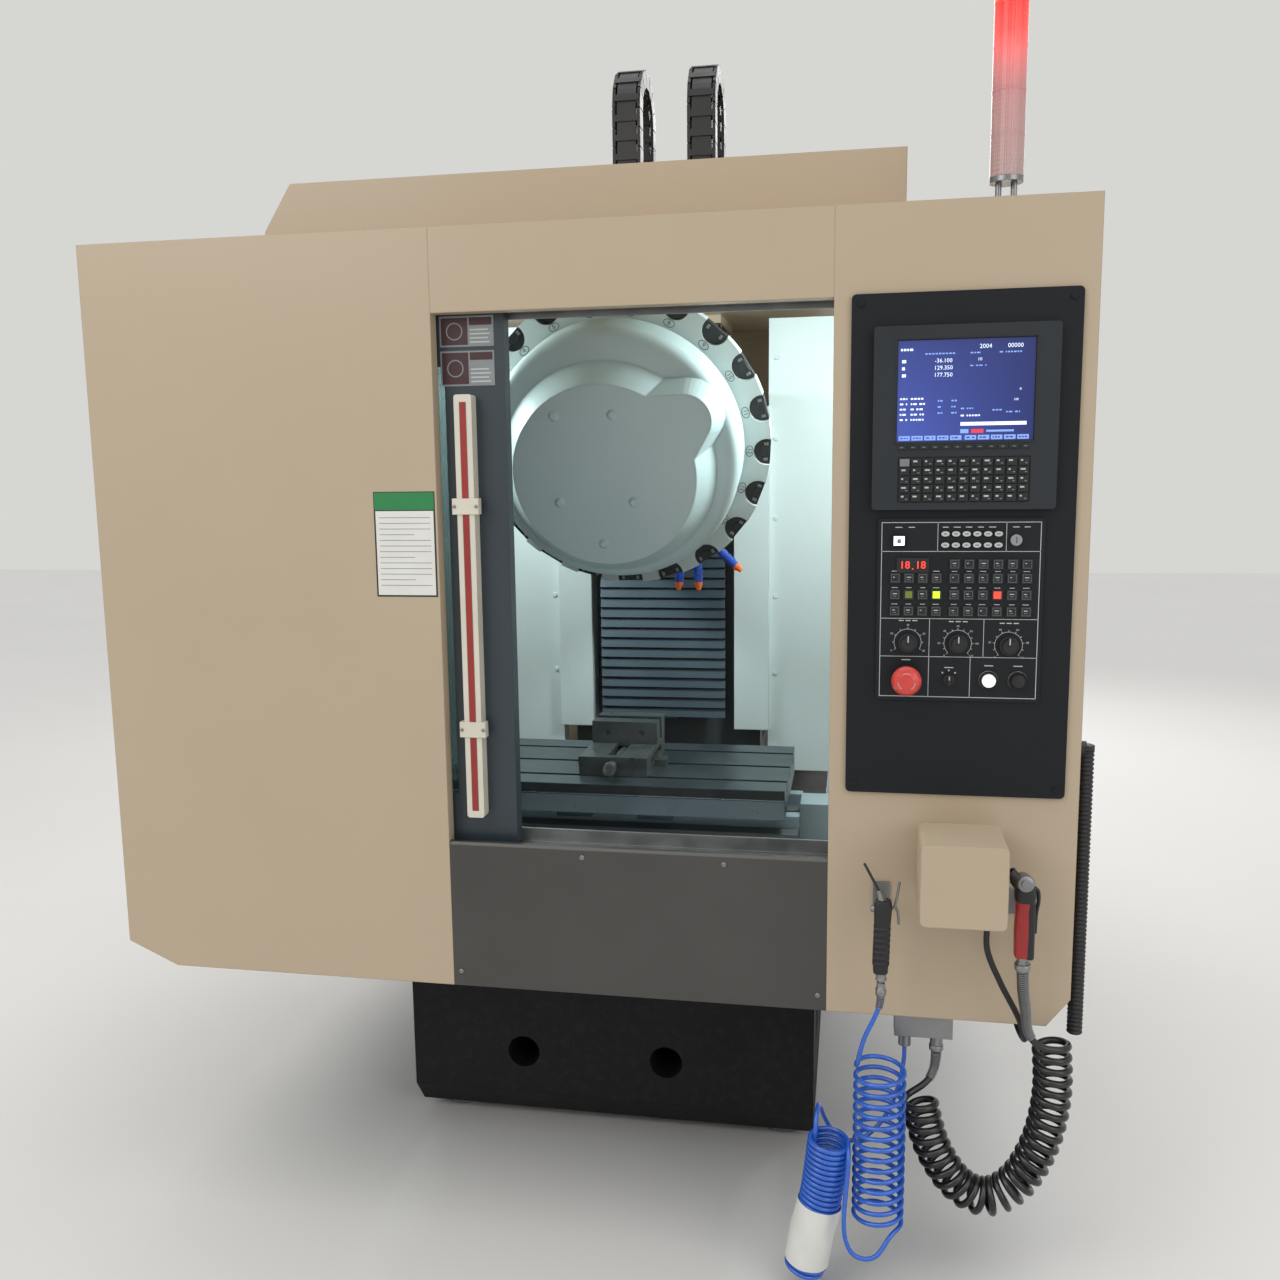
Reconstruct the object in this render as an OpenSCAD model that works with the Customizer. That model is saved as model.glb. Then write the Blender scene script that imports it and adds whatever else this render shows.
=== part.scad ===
/* [Enclosure] */
// Width over the two side panels
enc_w = 1756; // [1740:2:1800]
// Height of the lower edge above the floor
enc_low = 492; // [480:1:500]
// Height of the roof above the floor
enc_top = 1850; // [1840:1:1880]
// Distance from the machine's middle to the front face
front_dist = 900; // [890:1:920]
// Distance from the machine's middle to the rear end of the side panels
side_rear = 700; // [690:1:710]
// Depth of the folded edges
fold = 28; // [24:1:32]
// Thickness of the sheet metal
sheet = 3; // [2:0.5:4]
// Cut of the left lower corner, across
corner_left_w = 100; // [60:1:120]
// Cut of the left lower corner, up
corner_left_h = 45; // [30:1:60]
// Cut of the right lower corner, across
corner_right_w = 38; // [20:1:60]
// Cut of the right lower corner, up
corner_right_h = 50; // [30:1:60]

/* [Door opening] */
// Left edge of the opening, left of the middle
open_left = 213; // [200:1:225]
// Right edge of the opening, right of the middle
open_right = 471; // [460:1:480]
// Lower edge of the opening
open_low = 768; // [755:1:780]
// Upper edge of the opening
open_top = 1707; // [1690:1:1720]

/* [Door] */
// Width of the sliding door
door_w = 700; // [695:1:705]
// Part of the door that shows when it stands open
door_show = 120; // [110:1:130]
// Thickness of the door
door_t = 30; // [26:1:32]
// Gap between the door and the front panels
door_gap = 6; // [4:0.5:8]
// Width of the door's stiles
stile_w = 110; // [95:1:115]
// Height of the door's rails
rail_h = 90; // [70:1:110]
// Thickness of the window
glass_t = 8; // [5:0.5:12]
// Width of the handle
handle_w = 32; // [26:1:40]
// Length of the handle
handle_h = 757; // [700:1:800]
// How far the handle stands out of the door
handle_out = 26; // [20:1:30]
// Radius of the door's rollers
roller_r = 9; // [7:0.5:10]

/* [Top box] */
// Width of the raised box on the roof
top_box_w = 1175; // [1100:1:1250]
// Height of the raised box
top_box_h = 121; // [100:1:140]
// Slant of its left end
top_box_slant = 55; // [40:1:80]
// How far it stands back from the front face
top_box_back = 150; // [120:1:200]
// Depth of the raised box, front to back
top_box_d = 850; // [780:1:880]

/* [Base] */
// Width of the base casting
base_w = 880; // [860:1:890]
// Height of the base casting's top
base_top = 560; // [555:1:562]
// Height of the levelling feet
foot_h = 25; // [20:1:35]
// Radius of a foot's pad
foot_r = 55; // [40:1:65]
// Distance from the middle to the base's front
base_front = 550; // [548:1:560]
// Radius of the two lifting holes
lift_r = 35; // [30:1:40]
// Depth of the lifting holes
lift_depth = 120; // [60:1:160]

/* [Column] */
// Width of the column
column_w = 520; // [480:1:530]
// Height of the column's top
column_top = 1640; // [1625:1:1642]
// Depth of the column, front to back
column_d = 380; // [340:1:390]
// Distance from the middle back to the column's front
column_front = 300; // [298:1:304]
// Width of the slot between the white guards
guard_slot = 390; // [385:1:400]
// Width over the white guards
guard_w = 574; // [560:1:590]
// Height of the guards' lower edge
guard_low = 740; // [730:1:760]
// Height of the guards' upper edge
guard_top = 1600; // [1560:1:1620]
// How far the guards stand before the rear wall
guard_out = 22; // [18:1:24]
// Distance from the middle back to the rear wall
wall_y = 250; // [249:0.5:252]
// Height of the rear wall's lower edge
wall_low = 626; // [615:1:635]

/* [Slatted cover] */
// Width of the slatted cover
slat_w = 341; // [330:1:350]
// Height of its lower edge
slat_low = 770; // [760:1:780]
// Height of one slat
slat_pitch = 28; // [24:1:32]
// Depth of the slats
slat_d = 12; // [8:0.5:14]

/* [Guides and screws] */
// Width of a guide rail
rail_w = 30; // [24:1:34]
// Height of a guide rail
rail_t = 26; // [22:1:28]
// Half the spacing of the table's guide rails
x_rail_half = 90; // [80:1:100]
// Half the spacing of the saddle's guide rails
y_rail_half = 200; // [180:1:220]
// Half the spacing of the head's guide rails
z_rail_half = 105; // [95:1:110]
// Radius of the ball screws
screw_r = 13; // [10:0.5:15]
// Width of the servo motors
motor_w = 90; // [80:1:94]
// Length of the servo motors
motor_l = 130; // [110:1:150]
// Length of a bearing block
block_l = 80; // [70:1:90]
// Running gap of guides, screws and shafts
run_gap = 0.3; // [0.2:0.05:0.5]

/* [Saddle and table] */
// Width of the saddle
saddle_w = 800; // [780:1:820]
// Depth of the saddle
saddle_d = 300; // [280:1:310]
// Thickness of the saddle
saddle_t = 42; // [38:1:46]
// Width of the table
table_w = 750; // [720:1:780]
// Depth of the table
table_d = 398; // [390:1:400]
// Thickness of the table
table_t = 64; // [60:1:68]
// Distance from the middle forward to the table's centre
table_y = 320; // [318:1:322]
// Pitch of the T-slots
slot_pitch = 125; // [115:1:130]
// Width of a T-slot's mouth
slot_w = 14; // [12:1:18]
// Depth of a T-slot's mouth
slot_mouth = 14; // [12:1:18]
// Width of a T-slot's foot
slot_foot_w = 25; // [22:1:30]
// Height of a T-slot's foot
slot_foot_h = 11; // [9:1:14]

/* [Vise] */
// Width of the vise
vise_w = 150; // [130:1:160]
// Length of the vise's body
vise_l = 240; // [230:1:250]
// Height of the vise's bed
vise_bed = 42; // [38:1:48]
// Height of the jaws above the bed
jaw_h = 50; // [40:1:60]
// Thickness of a jaw
jaw_t = 40; // [34:1:46]
// Gap between the jaws as they stand
jaw_open = 26; // [22:1:60]
// Radius of the vise's screw
vise_screw_r = 10; // [8:0.5:11]

/* [Head and spindle] */
// Width of the headstock
head_w = 300; // [280:1:310]
// Height of the headstock's lower face
head_low = 1290; // [1286:1:1296]
// Height of the headstock at its back
head_top = 1600; // [1590:1:1606]
// Distance from the middle forward to the spindle's axis
spindle_dist = 125; // [120:0.5:128]
// Radius of the spindle's nose
nose_r = 45; // [40:1:46]
// Length of the spindle's nose
nose_l = 52; // [46:1:54]
// Radius of the spindle's shaft
shaft_r = 30; // [26:1:34]
// Radius of the tool taper at its mouth
taper_r = 16; // [14:0.5:20]
// Depth of the tool taper
taper_l = 48; // [40:1:55]
// Width of the spindle motor
spindle_motor_w = 150; // [130:1:156]
// Height of the spindle motor
spindle_motor_h = 150; // [140:1:160]

/* [Tool magazine] */
// Outer radius of the tool ring
ring_r = 330; // [324:1:334]
// Thickness of the tool ring
ring_t = 28; // [24:1:30]
// Number of tool places
tools = 21; // [16:1:24]
// Radius of a tool place's notch
notch_r = 29; // [24:1:32]
// Distance of a notch's centre from the ring's edge
notch_in = 8; // [4:1:12]
// Height of the magazine's centre
ring_z = 1496; // [1490:1:1500]
// Distance from the middle forward to the magazine's centre
ring_y = 320; // [316:1:326]
// Tilt of the magazine
ring_tilt = 18; // [17:0.5:19]
// Radius of the magazine's hub
hub_r = 70; // [60:1:80]
// Radius of the magazine's cover
cover_r = 274; // [262:1:280]
// Depth of the cover's rim
cover_rim = 110; // [95:1:120]
// Height of the raised lobes on the cover
lobe_h = 55; // [45:1:65]
// Radius of the cover's rounded edge
cover_round = 22; // [16:1:26]

/* [Control panel] */
// Width of the black panel
panel_w = 355; // [350:1:362]
// Height of the black panel
panel_h = 818; // [810:1:826]
// Left edge of the panel, right of the middle
panel_x = 499; // [492:1:504]
// Height of the panel's lower edge
panel_low = 892; // [886:1:898]
// Thickness of the panel
panel_t = 6; // [4:0.5:8]
// Width of the display unit
display_w = 286; // [280:1:292]
// Height of the display unit
display_h = 290; // [284:1:296]
// Thickness of the display unit
display_t = 12; // [9:0.5:16]
// Width of the screen
lcd_w = 212; // [205:1:218]
// Height of the screen
lcd_h = 160; // [154:1:166]
// Width of the operator's key panel
keys_w = 262; // [258:1:268]
// Height of the operator's key panel
keys_h = 300; // [294:1:306]
// Thickness of the operator's key panel
keys_t = 4; // [3:0.5:5]
// Radius of the emergency stop
stop_r = 24; // [20:1:26]
// Travel of the emergency stop
stop_travel = 6; // [4:0.5:7]
// Radius of the dial knobs
knob_r = 15; // [12:0.5:18]
// Radius of the power buttons
button_r = 11; // [9:0.5:13]
// Radius of the small selectors
selector_r = 9; // [7:0.5:11]

/* [Tower light] */
// Radius of the lenses
lens_r = 26; // [22:1:30]
// Height of one lens
lens_h = 66; // [60:1:72]
// Number of lenses
lens_count = 5; // [3:1:5]
// Height of the pole
pole_h = 40; // [34:1:60]
// Distance from the middle to the tower light
light_x = 739; // [720:1:760]

/* [Energy chains] */
// Height of the chains' top above the floor
chain_top = 2514; // [2440:1:2540]
// Width of a chain
chain_w = 75; // [65:1:80]
// Thickness of a chain
chain_t = 44; // [38:1:50]
// Radius of the bend, to the chain's middle
chain_bend = 105; // [95:1:112]
// Half the spacing of the two chains
chain_half = 100; // [90:1:110]
// Length of one link
link_l = 46; // [42:1:56]

/* [Electric cabinet] */
// Width of the cabinet
cabinet_w = 800; // [760:1:840]
// Depth of the cabinet's box
cabinet_d = 318; // [300:1:322]
// Height of the cabinet's lower edge
cabinet_low = 300; // [280:1:340]
// Thickness of the cabinet's door
cabinet_door_t = 20; // [16:1:22]
// Radius of the cabinet door's hinges
hinge_r = 8; // [6:0.5:9]

/* [Guns, box and hoses] */
// Width of the handwheel box
box_w = 134; // [126:1:142]
// Height of the handwheel box
box_h = 135; // [126:1:144]
// Depth of the handwheel box
box_d = 150; // [140:1:155]
// Radius of the air hose
air_hose_r = 4; // [3:0.5:5]
// Radius of the hanging air coil
air_coil_r = 45; // [40:1:50]
// Radius of the bundled air coil
bundle_r = 37; // [34:1:40]
// Radius of the coolant hose
coolant_hose_r = 6; // [5:0.5:7]
// Radius of the coolant coil
coolant_coil_r = 33; // [30:1:36]
// Radius of the corrugated conduit
conduit_r = 13; // [11:0.5:14]
// Radius of the handwheel cable
cable_r = 5; // [4:0.5:6]

/* [Hidden] */
$fn = 48;
half_w = enc_w / 2;
front_y = -front_dist;
inner_y = front_y + fold;
inner_x = half_w - 25;
roof_t = 25;
door_y = inner_y + door_gap;
door_right = -open_left + door_show;
door_left = door_right - door_w;
door_low = open_low - 8;
door_top = open_top + 5;
handle_x = door_right - 70;
track_t = 4;
seat = 0.3;
column_y = column_front;
column_back = column_y + column_d;
rail_base = base_top + 15;
saddle_low = rail_base + rail_t + 29;
saddle_top = saddle_low + saddle_t;
x_rail_top = saddle_top + rail_t;
table_low = x_rail_top + 18;
table_top = table_low + table_t;
x_screw_z = saddle_top - 7;
y_screw_z = base_top + 42;
z_screw_y = column_y - 25;
z_rail_low = 760;
saddle_back = 285;
wall_top = enc_top - roof_t;
vise_front = -table_y - 130;
rear_jaw_y = vise_front + vise_l - jaw_t;
jaw_y = rear_jaw_y - jaw_open - jaw_t;
vise_screw_z = table_top + vise_bed - 17;
pan_in = base_w / 2 + 10;
pan_front_z = wall_low - 106;
panel_y = front_y - panel_t;
keys_x = 546;
keys_low = 1053;
keys_y = panel_y - keys_t;
display_x = 535;
display_low = 1367;
keys_dx = keys_x + keys_w / 2;
chain_y = column_y + 150;
chain_foot = column_top + 12;
chain_bend_z = chain_top - chain_bend - chain_t / 2;
cabinet_y = side_rear;
cabinet_back = cabinet_y + cabinet_d;
box_x = 618;
box_low = 715;
box_y = front_y - box_d;
manifold_y = -850;
manifold_low = 440;
light_y = -840;
gun_out = 84;
hole_n = 72;
spindle_y = -spindle_dist;
nozzle_x = head_w / 2 - 38;
way_w = base_w - 16;
way_l = 352;
way_z = saddle_low + 22;
way_back = -table_y - saddle_d / 2 - 28;

module box(x0, x1, y0, y1, z0, z1) {
    translate([x0, y0, z0]) cube([x1 - x0, y1 - y0, z1 - z0]);
}
module along_y(x, y0, y1, z, r) {
    translate([x, y1, z]) rotate([90, 0, 0]) cylinder(r = r, h = y1 - y0, $fn = 48);
}
module along_x(x0, x1, y, z, r) {
    translate([x0, y, z]) rotate([0, 90, 0]) cylinder(r = r, h = x1 - x0, $fn = 48);
}
// A profile in Y and Z, extruded from x0 to x1
module slab_x(x0, x1, points) {
    translate([x0, 0, 0]) rotate([90, 0, 90]) linear_extrude(x1 - x0) polygon(points);
}
// A profile in X and Z, extruded from y0 back to y1
module slab_y(y0, y1, points) {
    translate([0, y1, 0]) rotate([90, 0, 0]) linear_extrude(y1 - y0) polygon(points);
}
// A folded front panel: a plate with returns all round
module front_tray(x0, x1, z0, z1) {
    difference() {
        box(x0, x1, front_y, inner_y, z0, z1);
        box(x0 + sheet, x1 - sheet, front_y + sheet, inner_y + 1, z0 + sheet, z1 - sheet);
    }
}
// A rectangle in X and Z with rounded corners, extruded along Y
module soft_plate(x0, x1, y0, y1, z0, z1, r) {
    box(x0 + r, x1 - r, y0, y1, z0, z1);
    box(x0, x0 + r, y0, y1, z0 + r, z1 - r);
    box(x1 - r, x1, y0, y1, z0 + r, z1 - r);
    for (x = [x0 + r, x1 - r], z = [z0 + r, z1 - r]) along_y(x, y0, y1, z, r);
}
// Sweeps a round section along points as one polyhedron
function unit(v) = v / norm(v);
function way(p, i) = let (n = len(p) - 1) unit(p[min(i + 1, n)] - p[max(i - 1, 0)]);
function side_of(t) = unit(cross(t, [0.9, 0.4, 0.17]));
function curve(p, n) = [for (i = [0 : len(p) - 2], k = [0 : n - 1])
    let (a = p[max(i - 1, 0)], b = p[i], c = p[i + 1], d = p[min(i + 2, len(p) - 1)], u = k / n)
        0.5 * (2 * b + u * (c - a) + u * u * (2 * a - 5 * b + 4 * c - d)
            + u * u * u * (3 * b - a - 3 * c + d)), p[len(p) - 1]];
module tube(p, r, n) {
    m = len(p);
    points = [for (i = [0 : m - 1], k = [0 : n - 1])
        let (t = way(p, i), a = side_of(t), b = cross(t, a), g = 360 * k / n)
            p[i] + r * (cos(g) * a + sin(g) * b)];
    sides = [for (i = [0 : m - 2], k = [0 : n - 1])
        [i * n + k, i * n + (k + 1) % n, (i + 1) * n + (k + 1) % n, (i + 1) * n + k]];
    polyhedron(points, concat(sides, [[for (k = [n - 1 : -1 : 0]) k]],
        [[for (k = [0 : n - 1]) (m - 1) * n + k]]), convexity = 6);
}

// Base and column
module base_casting() {
    color("dimgray") difference() {
        union() {
            slab_x(-base_w / 2, base_w / 2, [[-base_front, foot_h + 60], [-base_front + 45, foot_h],
                [side_rear, foot_h], [side_rear, base_top], [-base_front, base_top]]);
            for (s = [-1, 1]) box(s * y_rail_half - 40, s * y_rail_half + 40, -base_front,
                saddle_back, base_top, rail_base);
            box(-62, 62, -base_front, -base_front + 22, base_top, y_screw_z + motor_w / 2);
        }
        for (x = [-188, 127]) along_y(x, -base_front - 1, -base_front + lift_depth, 180, lift_r);
        along_y(0, -base_front - 1, -base_front + 23, y_screw_z, screw_r + run_gap);
        for (s = [-1, 1]) box(s > 0 ? base_w / 2 - 30 : -base_w / 2 - 1,
            s > 0 ? base_w / 2 + 1 : -base_w / 2 + 30, -base_front + 130, 150, 160, 420);
    }
}
module levelling_feet() {
    color("gray") for (x = [-base_w / 2 + 70, base_w / 2 - 70], y = [-base_front + 130, side_rear - 80])
        translate([x, y, 0]) {
            cylinder(r = foot_r, h = foot_h - 9);
            cylinder(r = foot_r / 3, h = foot_h);
        }
}
module column_casting() {
    w = column_w / 2;
    color("slategray") difference() {
        slab_x(-w, w, [[column_y, base_top], [column_y, column_top], [column_back - 90, column_top],
            [column_back, column_top - 260], [column_back, base_top]]);
        for (s = [-1, 1]) box(s > 0 ? w - 40 : -w - 1, s > 0 ? w + 1 : -w + 40, column_y + 70,
            column_back - 70, base_top + 120, column_top - 420);
    }
}
module rail(x0, x1, y0, y1, z0, z1) {
    box(x0, x1, y0, y1, z0, z1);
}
module y_axis_drive() {
    color("silver") {
        for (s = [-1, 1]) box(s * y_rail_half - rail_w / 2, s * y_rail_half + rail_w / 2,
            -base_front + 6, saddle_back - 4, rail_base, rail_base + rail_t);
        along_y(0, -base_front - 1, saddle_back - 22, y_screw_z, screw_r);
        box(-40, 40, saddle_back - 22, saddle_back, base_top, y_screw_z + 30);
    }
    color("black") {
        box(-motor_w / 2, motor_w / 2, -base_front - 20 - motor_l, -base_front - 1,
            y_screw_z - motor_w / 2, y_screw_z + motor_w / 2);
        along_y(0, -base_front - 50 - motor_l, -base_front - 20 - motor_l, y_screw_z,
            motor_w / 2 - 8);
    }
}
module z_axis_drive() {
    top = column_top;
    color("silver") {
        for (s = [-1, 1]) box(s * z_rail_half - rail_w / 2, s * z_rail_half + rail_w / 2,
            column_y - rail_t, column_y, z_rail_low, top - 8);
        translate([0, z_screw_y, z_rail_low + 24]) cylinder(r = screw_r, h = top - z_rail_low - 24);
        box(-34, 34, z_screw_y - 20, column_y, z_rail_low, z_rail_low + 24);
        box(-motor_w / 2 - 4, motor_w / 2 + 4, z_screw_y - motor_w / 2, column_y + 60, top, top + 14);
    }
    color("black") {
        box(-motor_w / 2, motor_w / 2, z_screw_y - motor_w / 2, z_screw_y + motor_w / 2,
            top + 14, top + 14 + motor_l);
        translate([0, z_screw_y, top + 14 + motor_l]) cylinder(r = motor_w / 2 - 8, h = 26);
    }
}
module column_guards() {
    y = wall_y - guard_out;
    color("gainsboro") for (s = [0, 1]) mirror([s, 0, 0]) difference() {
        box(guard_slot / 2, guard_w / 2, y, column_y, guard_low, guard_top);
        box(guard_slot / 2 + sheet, guard_w / 2 - sheet, y + sheet, column_y + 1, guard_low - 1,
            guard_top + 1);
        box(guard_w / 2 - sheet - 1, guard_w / 2 + 1, wall_y, column_y + 1, guard_low - 1,
            guard_top + 1);
    }
}
module z_slat_cover() {
    y = wall_y - guard_out;
    low = slat_low;
    high = head_low - seat;
    n = round((high - low) / slat_pitch);
    p = (high - low) / n;
    front = [for (i = [0 : n - 1], k = [0, 1]) [k == 0 ? y : y + slat_d - 3, low + p * (i + k * 0.86)]];
    back = [for (i = [n - 1 : -1 : 0], k = [1, 0])
        [k == 0 ? y + 3 : y + slat_d, low + p * (i + k * 0.86)]];
    color("dimgray") slab_x(-slat_w / 2, slat_w / 2, concat(front, [[y, high], [y + 3, high]], back));
}
module rear_wall() {
    inner = guard_w / 2 - sheet;
    color("gainsboro") {
        for (s = [0, 1]) mirror([s, 0, 0]) {
            box(inner, inner_x, wall_y, wall_y + sheet, wall_low, wall_top);
            box(inner, inner + sheet, wall_y + sheet, column_y, wall_low, wall_top);
            translate([0, wall_y - 3, 0]) for (k = [0 : 5]) along_y(inner + 20, 0, 3,
                wall_low + 60 + k * (wall_top - wall_low - 160) / 5, 6);
        }
    }
}
module chip_pan() {
    color("silver") for (s = [0, 1]) mirror([s, 0, 0]) {
        slab_x(pan_in, inner_x, [[inner_y, pan_front_z], [wall_y, wall_low - sheet],
            [wall_y, wall_low], [inner_y, pan_front_z + sheet]]);
        slab_x(pan_in - sheet, pan_in, [[inner_y, pan_front_z], [wall_y, wall_low - sheet],
            [wall_y, wall_low], [inner_y, pan_front_z + 40]]);
    }
    // The fixed plate of the way cover, standing on the base
    color("silver") {
        box(-way_w / 2, way_w / 2, inner_y, way_back, way_z, way_z + sheet);
        for (s = [0, 1]) mirror([s, 0, 0]) box(way_w / 2 - sheet, way_w / 2, inner_y, way_back,
            base_top, way_z);
    }
}

// Enclosure
module front_left_panel() {
    x0 = -half_w;
    c = corner_left_w;
    h = corner_left_h;
    color("tan") difference() {
        slab_y(front_y, inner_y, [[x0 + c, enc_low], [-open_left, enc_low], [-open_left, enc_top],
            [x0, enc_top], [x0, enc_low + h]]);
        slab_y(front_y + sheet, inner_y + 1, [[x0 + c, enc_low + sheet],
            [-open_left - sheet, enc_low + sheet], [-open_left - sheet, enc_top - sheet],
            [x0 + sheet, enc_top - sheet], [x0 + sheet, enc_low + h + 1]]);
    }
}
module front_right_panel() {
    x1 = half_w;
    c = corner_right_w;
    h = corner_right_h;
    color("tan") difference() {
        slab_y(front_y, inner_y, [[open_right, enc_low], [x1 - c, enc_low], [x1, enc_low + h],
            [x1, enc_top], [open_right, enc_top]]);
        slab_y(front_y + sheet, inner_y + 1, [[open_right + sheet, enc_low + sheet],
            [x1 - c - 1, enc_low + sheet], [x1 - sheet, enc_low + h + 1],
            [x1 - sheet, enc_top - sheet], [open_right + sheet, enc_top - sheet]]);
    }
}
module header_panel() {
    color("tan") front_tray(-open_left, open_right, open_top, enc_top);
}
module lower_front_cover() {
    color("dimgray") {
        front_tray(-open_left, open_right, enc_low, open_low - 26);
        slab_x(-open_left, open_right, [[front_y, open_low - 26], [inner_y, open_low - 26],
            [inner_y, open_low - 23], [front_y + 14, open_low], [front_y + 4, open_low],
            [front_y, open_low - 5]]);
    }
}
module side_panels() {
    h = corner_left_h;
    color("tan") for (s = [0, 1]) mirror([s, 0, 0]) difference() {
        box(inner_x, half_w, inner_y, side_rear, enc_low + h + 5, enc_top);
        box(inner_x - 1, half_w - sheet, inner_y + sheet, side_rear - sheet, enc_low + h + 5 + sheet,
            enc_top - roof_t - sheet);
    }
}
module roof_panel() {
    z0 = enc_top - roof_t;
    hx = chain_half + chain_w / 2 + 12;
    hy = chain_bend + chain_t / 2 + 12;
    color("tan") difference() {
        box(-inner_x, inner_x, inner_y, side_rear, z0, enc_top);
        difference() {
            box(-inner_x + sheet, inner_x - sheet, inner_y + sheet, side_rear - sheet, z0 - 1,
                enc_top - sheet);
            box(-hx - sheet, hx + sheet, chain_y - hy - sheet, chain_y + hy + sheet, z0, enc_top);
        }
        box(-hx, hx, chain_y - hy, chain_y + hy, z0 - 1, enc_top + 1);
    }
}
module top_box() {
    w = top_box_w / 2;
    h = top_box_h;
    y0 = front_y + top_box_back;
    color("tan") difference() {
        slab_y(y0, y0 + top_box_d, [[-w, enc_top], [w, enc_top], [w, enc_top + h],
            [-w + top_box_slant, enc_top + h], [-w, enc_top + h * 0.31]]);
        slab_y(y0 + sheet, y0 + top_box_d - sheet, [[-w + sheet, enc_top - 1], [w - sheet, enc_top - 1],
            [w - sheet, enc_top + h - sheet], [-w + top_box_slant + sheet, enc_top + h - sheet],
            [-w + sheet, enc_top + h * 0.31 - 1]]);
    }
}
module door_tracks() {
    x0 = door_left - 12;
    x1 = open_right + 12;
    y0 = door_y;
    y1 = door_y + door_t;
    z0 = door_top + 2 * roller_r + 1;
    color("silver") {
        box(x0, x1, y0 - 4, y0 - 4 + track_t - 1, door_top + 2, z0);
        box(x0, x1, inner_y, y1 + 1 + track_t, z0, z0 + track_t);
        box(x0, x1, y1 + 1, y1 + 1 + track_t, door_top - 12, z0 + 1);
        slab_x(x0, x1, [[inner_y, door_low - 9], [y1 + 6, door_low - 9], [y1 + 6, door_low + 20],
            [y1 + 2, door_low + 20], [y1 + 2, door_low - 5], [inner_y, door_low - 5]]);
    }
}

// Sliding door
module door_frame() {
    y0 = door_y;
    y1 = door_y + door_t;
    color("darkslategray") difference() {
        box(door_left, door_right, y0, y1, door_low, door_top);
        box(door_left + stile_w * 0.6, door_right - stile_w, y0 - 1, y1 + 1, door_low + rail_h,
            door_top - rail_h);
        box(door_right - stile_w + 12, door_right - 12, y0 + sheet, y1 + 1, door_low + 12,
            door_top - 12);
    }
    color("black") for (x = [door_left + 90, door_right - 90]) {
        along_y(x, y0 + 8, y1 - 6, door_top + roller_r + 0.5, roller_r);
        box(x - 6, x + 6, y1 - 6, y1 - 3, door_top, door_top + roller_r + 4);
    }
}
module door_window() {
    y = door_y + door_t / 2;
    color("lightskyblue") box(door_left + stile_w * 0.6, door_right - stile_w, y - glass_t / 2,
        y + glass_t / 2, door_low + rail_h, door_top - rail_h);
}
module door_handle() {
    x0 = handle_x - handle_w / 2;
    x1 = handle_x + handle_w / 2;
    z0 = open_low + 45;
    y0 = door_y - handle_out;
    color("white") {
        soft_plate(x0, x1, y0, door_y, z0, z0 + handle_h, 5);
        for (z = [z0 + 150, z0 + 550]) box(x0 - 8, x1 + 8, y0 - 3, y0 + 14, z, z + 28);
    }
}

// Saddle, table and vise
module rail_block(w, l, h, bite) {
    difference() {
        translate([-w / 2, -l / 2, 0]) cube([w, l, h]);
        translate([-rail_w / 2 - run_gap, -l / 2 - 1, -1])
            cube([rail_w + 2 * run_gap, l + 2, bite + 1]);
    }
}
module saddle() {
    y = -table_y;
    d = saddle_d / 2;
    gap = saddle_low - rail_base - rail_t;
    bite = rail_t / 2 + run_gap;
    color("slategray") {
        difference() {
            box(-saddle_w / 2, saddle_w / 2, y - d, y + d, saddle_low, saddle_top);
            box(-saddle_w / 2 - 1, saddle_w / 2 + 1, y - 28, y + 28, x_screw_z - 22, saddle_top + 1);
        }
        for (s = [-1, 1], t = [-1, 1]) translate([s * y_rail_half, y + t * (d - block_l / 2 - 6),
            saddle_low - gap - rail_t / 2]) rail_block(rail_w + 40, block_l, gap + rail_t / 2, bite);
        difference() {
            box(-30, 30, y - 30, y + 30, base_top + 12, saddle_low);
            along_y(0, y - 31, y + 31, y_screw_z, screw_r + run_gap);
        }
    }
}
module x_axis_drive() {
    y = -table_y;
    x1 = saddle_w / 2;
    color("silver") {
        // The upper plate of the way cover, carried by the saddle
        box(-way_w / 2, way_w / 2, y - saddle_d / 2 - way_l, y - saddle_d / 2, way_z + 6, way_z + 9);
        box(-way_w / 2, way_w / 2, y - saddle_d / 2 - sheet, y - saddle_d / 2, saddle_low + 2, way_z + 6);
        for (s = [-1, 1]) box(-x1, x1, y + s * x_rail_half - rail_w / 2,
            y + s * x_rail_half + rail_w / 2, saddle_top, x_rail_top);
        along_x(-x1 + 20, x1, y, x_screw_z, screw_r - 1);
        box(-x1, -x1 + 20, y - 27, y + 27, x_screw_z - 22, x_screw_z + 22);
        box(x1, x1 + 12, y - motor_w / 2, y + motor_w / 2, table_low - 6 - motor_w, table_low - 6);
    }
    color("black") {
        box(x1 + 12, x1 + 12 + motor_l, y - motor_w / 2, y + motor_w / 2, table_low - 6 - motor_w,
            table_low - 6);
    }
}
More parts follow.
